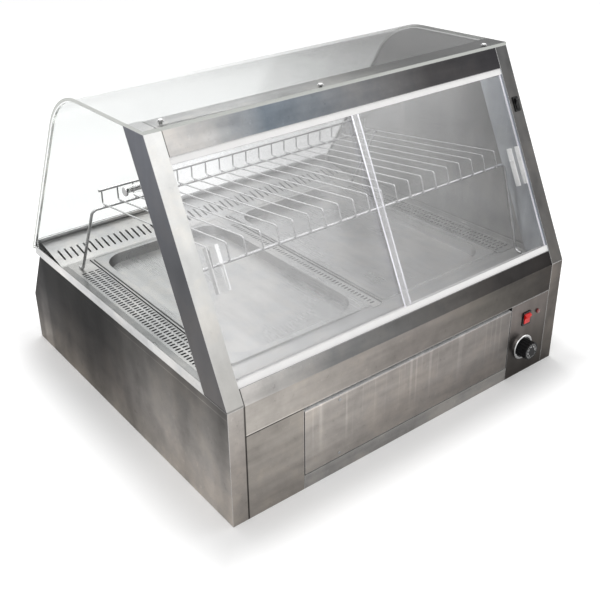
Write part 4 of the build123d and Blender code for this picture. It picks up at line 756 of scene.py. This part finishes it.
class CASE_OT_rack(bpy.types.Operator):
    """Dress the wire rack and add its weld beads"""

    bl_idname = "case.rack"
    bl_label = "Wire rack"

    def execute(self, context):
        # Bright wire: light on top as a painted highlight and dark below as painted shade.
        wire = plain_steel("Bright wire", grey(124), grey(248), rough=0.24)
        dress(wire, "rack_grid", "rack_front_frame", "rack_rear_frame")
        pitch, count, wire_radius = 35.2 * MM, 21, 1.5 * MM
        first = -pitch * (count - 1) / 2
        rods = {"Front rod": (FRONT + 135.9 * MM, 421.9 * MM), "Rear rod": (FRONT + 518 * MM, 407.8 * MM),
                "Rim rod": (FRONT + 526.5 * MM, 437.5 * MM)}
        tree = weld_tree(list(rods))
        values = {"Count": count, "Pitch": pitch, "Bead radius": 1.3 * wire_radius,
                  "Bead shape": (1.0, 0.8, 0.8), "Material": wire}
        values.update({f"{rod} start": (first, y, z) for rod, (y, z) in rods.items()})
        piece("rack_welds", grown(tree, values), "rack", "bright_wire", wire)
        return {"FINISHED"}


class CASE_OT_controls(bpy.types.Operator):
    """Dress the knob, the switches and the pilot lamp"""

    bl_idname = "case.controls"
    bl_label = "Controls"

    def execute(self, context):
        controls = context.scene.case_controls
        dress(plastic("Knob plastic", tuple(controls.knob_colour), rough=0.45, specular=0.16),
              "thermostat_knob")
        dress(plastic("Black plastic", grey(20), rough=0.35, specular=0.25), "thermostat_body",
              "main_switch_body", "lamp_switch_body", "lamp_rocker", "cable_gland")
        red = plastic("Red rocker", tuple(controls.rocker_colour), rough=0.32, coat=0.05, specular=0.3)
        dress(red, "main_rocker")
        self.rocker_ribs(red)
        self.dial(plastic("Dial print", grey(228), rough=0.5))
        dress(plastic("Pilot lens", tone(118, 30, 26), rough=0.14, coat=0.6), "pilot_lamp")
        # Chrome lighter on top as a painted highlight and darker below as painted shade.
        dress(plain_steel("Chrome", grey(150), grey(250), rough=0.12),
              "thermostat_bezel", "side_stud", "glass_screws")
        return {"FINISHED"}

    def rocker_ribs(self, finish):
        """Grip ribs across the rocker's raised half, from its middle towards its tip."""
        middle = Vector((325 * MM, -401.9 * MM, 133.06 * MM))
        tip = Vector((325 * MM, -405.86 * MM, 141.96 * MM))
        slope = (tip - middle).normalized()
        values = {"Count": 4, "First": middle + slope * 2.6 * MM, "Step": slope * 1.75 * MM,
                  "Radius": 0.45 * MM, "Length": 17.0 * MM, "Material": finish}
        piece("rocker_ribs", grown(rib_tree(), values), "main_rocker", "red_plastic", finish)

    def dial(self, finish):
        """Ticks and numbers printed in the dish of the knob's face."""
        dish_depth, tick_ring, number_ring, number_height = 0.34 * MM, 15.2 * MM, 10.6 * MM, 5.2 * MM
        turns = {"0": 150, "30": 105, "50": 60, "70": 15, "90": -30, "110": -75}
        low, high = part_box("thermostat_knob")
        centre = Vector(((low.x + high.x) / 2, low.y + dish_depth, (low.z + high.z) / 2))
        upright = Matrix.Translation(centre) @ Matrix.Rotation(math.radians(90), 4, "X")
        ticks = grown(tick_tree(), {"Count": 24, "Radius": tick_ring, "Tick": (0.7 * MM, 2.2 * MM, 0.2 * MM),
                                    "Material": finish})
        ticks.transform(upright)
        printed = bmesh.new()
        printed.from_mesh(ticks)
        for label, degrees in turns.items():
            number = self.number(label, number_height)
            turn = Matrix.Rotation(math.radians(degrees), 4, "Z") @ Matrix.Translation((0, number_ring, 0))
            number.transform(upright @ turn)
            printed.from_mesh(number)
        print_mesh = bpy.data.meshes.new("knob_print")
        printed.to_mesh(print_mesh)
        printed.free()
        print_mesh.materials.clear()  # Puts every face back on the first material.
        piece("knob_print", print_mesh, "thermostat_knob", "white_plastic", finish)

    def number(self, label, height):
        """Mesh of a number that lies flat about its middle."""
        text = bpy.data.curves.new(f"number {label}", "FONT")
        text.body = label
        text.size = height
        text.align_x = text.align_y = "CENTER"
        text.extrude = 0.1 * MM
        holder = bpy.data.objects.new("number", text)
        bpy.context.scene.collection.objects.link(holder)
        graph = bpy.context.evaluated_depsgraph_get()
        graph.update()
        mesh = bpy.data.meshes.new_from_object(holder.evaluated_get(graph))
        bpy.data.objects.remove(holder)
        return mesh


class CASE_OT_heating(bpy.types.Operator):
    """Dress the parts inside the base and the small fittings"""

    bl_idname = "case.heating"
    bl_label = "Heating and fittings"

    def execute(self, context):
        # These metals are lighter on top, a painted highlight, and darker below, painted shade.
        dress(plain_steel("Element steel", grey(60, 3), grey(96, 4), rough=0.45, lumps=30.0),
              "left_element", "right_element")
        dress(plain_steel("Zinc", grey(150, -1), grey(190, -1), rough=0.4, lumps=90.0),
              "element_clips", "thermostat_shaft", "drawer_rivets")
        dress(plain_steel("Copper", tone(150, 92, 62), tone(208, 140, 104), rough=0.3), "capillary_tube")
        dress(plastic("White plastic", grey(226, 2), rough=0.45), "lamp_sockets", "terminal_block")
        dress(plastic("Gasket rubber", grey(92), rough=0.7), "rest_gasket")
        return {"FINISHED"}


FLOOR_REACH = 6.0
FLOOR_DROP = 0.3 * MM
SENSOR_WIDTH = 36

# Name, place, width in metres and power in watts.
LAMPS = (("Key", (-1.6, -1.4, 2.6), 2.2, 18), ("Fill", (2.2, -1.0, 2.4), 2.4, 16),
         ("Top", (0.2, 0.8, 3.0), 1.6, 34))
LAMPS_AIM = (0, 0, 0.3)


def direct_rays(tree):
    """Socket that is 1 for what is seen straight, in a mirror or through glass, and else 0."""
    path = tree.nodes.new("ShaderNodeLightPath")
    mirrored = tree.nodes.new("ShaderNodeMath")
    mirrored.operation = "ADD"
    tree.links.new(path.outputs["Is Camera Ray"], mirrored.inputs[0])
    tree.links.new(path.outputs["Is Glossy Ray"], mirrored.inputs[1])
    direct = tree.nodes.new("ShaderNodeMath")
    direct.operation = "ADD"
    direct.use_clamp = True
    tree.links.new(mirrored.outputs[0], direct.inputs[0])
    tree.links.new(path.outputs["Is Transmission Ray"], direct.inputs[1])
    return direct.outputs[0]


class CASE_OT_stage(bpy.types.Operator):
    """Add the floor, the light and the camera"""

    bl_idname = "case.stage"
    bl_label = "Studio"

    def execute(self, context):
        studio = context.scene.case_studio
        self.lay_floor(context.scene)
        self.light_room(context.scene, studio)
        self.hang_lamps(context.scene)
        self.place_camera(context.scene, studio)
        context.scene.view_settings.view_transform = "Standard"
        return {"FINISHED"}

    def lay_floor(self, scene):
        """White floor that glows less close to the case, a painted shade there, where it also takes the
        case's cast shadow.
        """
        finish = Finish("Pale floor")
        soft = finish.noise((3, 3, 3), detail=3.0)
        matte = finish.principled(Base_Color=finish.shade(finish.plain(grey(249)), 0.99 + soft * 0.02),
                                  Roughness=0.9)
        # Painted shade: the floor glows less within a few centimetres of the case.
        aside = finish.node("ShaderNodeMath", {"operation": "MAXIMUM"},
                            (abs(finish.x) - HALF, abs(finish.y) + FRONT))
        glow_colour = finish.mix(finish.ease(aside, 0.02, 0.15), grey(62), grey(164))
        lit = finish.node("ShaderNodeEmission", None, {"Color": glow_colour, "Strength": 1.0})
        unlit = finish.node("ShaderNodeEmission", None, {"Color": (0, 0, 0), "Strength": 0.0})
        seen = Signal(finish, direct_rays(finish.tree))
        glow = finish.node("ShaderNodeMixShader", None, (seen, unlit, lit))

        mesh = bpy.data.meshes.new("floor")
        corners = ((-1, -1), (1, -1), (1, 1), (-1, 1))
        mesh.from_pydata([(x * FLOOR_REACH, y * FLOOR_REACH, -FLOOR_DROP) for x, y in corners], [],
                         [(0, 1, 2, 3)])
        mesh.materials.append(finish.done(finish.node("ShaderNodeAddShader", None, (matte, glow))))
        floor = bpy.data.objects.new("floor", mesh)
        scene.collection.objects.link(floor)

    def light_room(self, scene, studio):
        """Plain light from all round, and a white background where it is seen."""
        world = bpy.data.worlds.new("Studio")
        world.use_nodes = True
        scene.world = world
        tree = world.node_tree
        tree.nodes.clear()
        mixed = tree.nodes.new("ShaderNodeMixShader")
        tree.links.new(direct_rays(tree), mixed.inputs[0])
        for socket, strength in ((1, studio.room_light), (2, 1.0)):
            background = tree.nodes.new("ShaderNodeBackground")
            background.inputs["Color"].default_value = (1, 1, 1, 1)
            background.inputs["Strength"].default_value = strength
            tree.links.new(background.outputs[0], mixed.inputs[socket])
        out = tree.nodes.new("ShaderNodeOutputWorld")
        tree.links.new(mixed.outputs[0], out.inputs["Surface"])

    def hang_lamps(self, scene):
        """Square lamps that point at the case."""
        for name, place, width, power in LAMPS:
            lamp = bpy.data.lights.new(name, "AREA")
            lamp.size = width
            lamp.energy = power
            holder = bpy.data.objects.new(name, lamp)
            holder.location = place
            aim = Vector(LAMPS_AIM) - Vector(place)
            holder.rotation_euler = aim.to_track_quat("-Z", "Y").to_euler()
            scene.collection.objects.link(holder)

    def place_camera(self, scene, studio):
        """Camera that stands where the photograph was taken."""
        lens = bpy.data.cameras.new("Camera")
        lens.sensor_width = SENSOR_WIDTH
        lens.lens = studio.lens
        lens.shift_x, lens.shift_y = studio.lens_shift
        camera = bpy.data.objects.new("Camera", lens)
        camera.location = studio.camera_place
        camera.rotation_euler = studio.camera_turn
        scene.collection.objects.link(camera)
        scene.camera = camera


SETTINGS = {"case_steel": CaseSteel, "case_cabinet": CaseCabinet, "case_controls": CaseControls,
            "case_studio": CaseStudio}
OPERATORS = (CASE_OT_stage, CASE_OT_base_sheets, CASE_OT_frame_sheets, CASE_OT_deck, CASE_OT_glass,
             CASE_OT_doors, CASE_OT_rack, CASE_OT_controls, CASE_OT_heating)


class CASE_PT_panel(bpy.types.Panel):
    """Display case settings and steps"""

    bl_label = "Display case"
    bl_space_type = "VIEW_3D"
    bl_region_type = "UI"
    bl_category = "Display case"

    def draw(self, context):
        layout = self.layout
        for name in SETTINGS:
            group = getattr(context.scene, name)
            for prop in group.bl_rna.properties:
                if prop.identifier not in ("rna_type", "name"):
                    layout.prop(group, prop.identifier)
        for operator in OPERATORS:
            layout.operator(operator.bl_idname)


def register():
    for group in SETTINGS.values():
        bpy.utils.register_class(group)
    for name, group in SETTINGS.items():
        setattr(bpy.types.Scene, name, bpy.props.PointerProperty(type=group))
    for operator in OPERATORS:
        bpy.utils.register_class(operator)
    bpy.utils.register_class(CASE_PT_panel)


def unregister():
    bpy.utils.unregister_class(CASE_PT_panel)
    for operator in reversed(OPERATORS):
        bpy.utils.unregister_class(operator)
    for name in SETTINGS:
        delattr(bpy.types.Scene, name)
    for group in reversed(SETTINGS.values()):
        bpy.utils.unregister_class(group)


def main():
    register()
    bpy.ops.case.stage()
    bpy.ops.case.base_sheets()
    bpy.ops.case.frame_sheets()
    bpy.ops.case.deck()
    bpy.ops.case.glass()
    bpy.ops.case.doors()
    bpy.ops.case.rack()
    bpy.ops.case.controls()
    bpy.ops.case.heating()


if __name__ == "__main__":
    main()
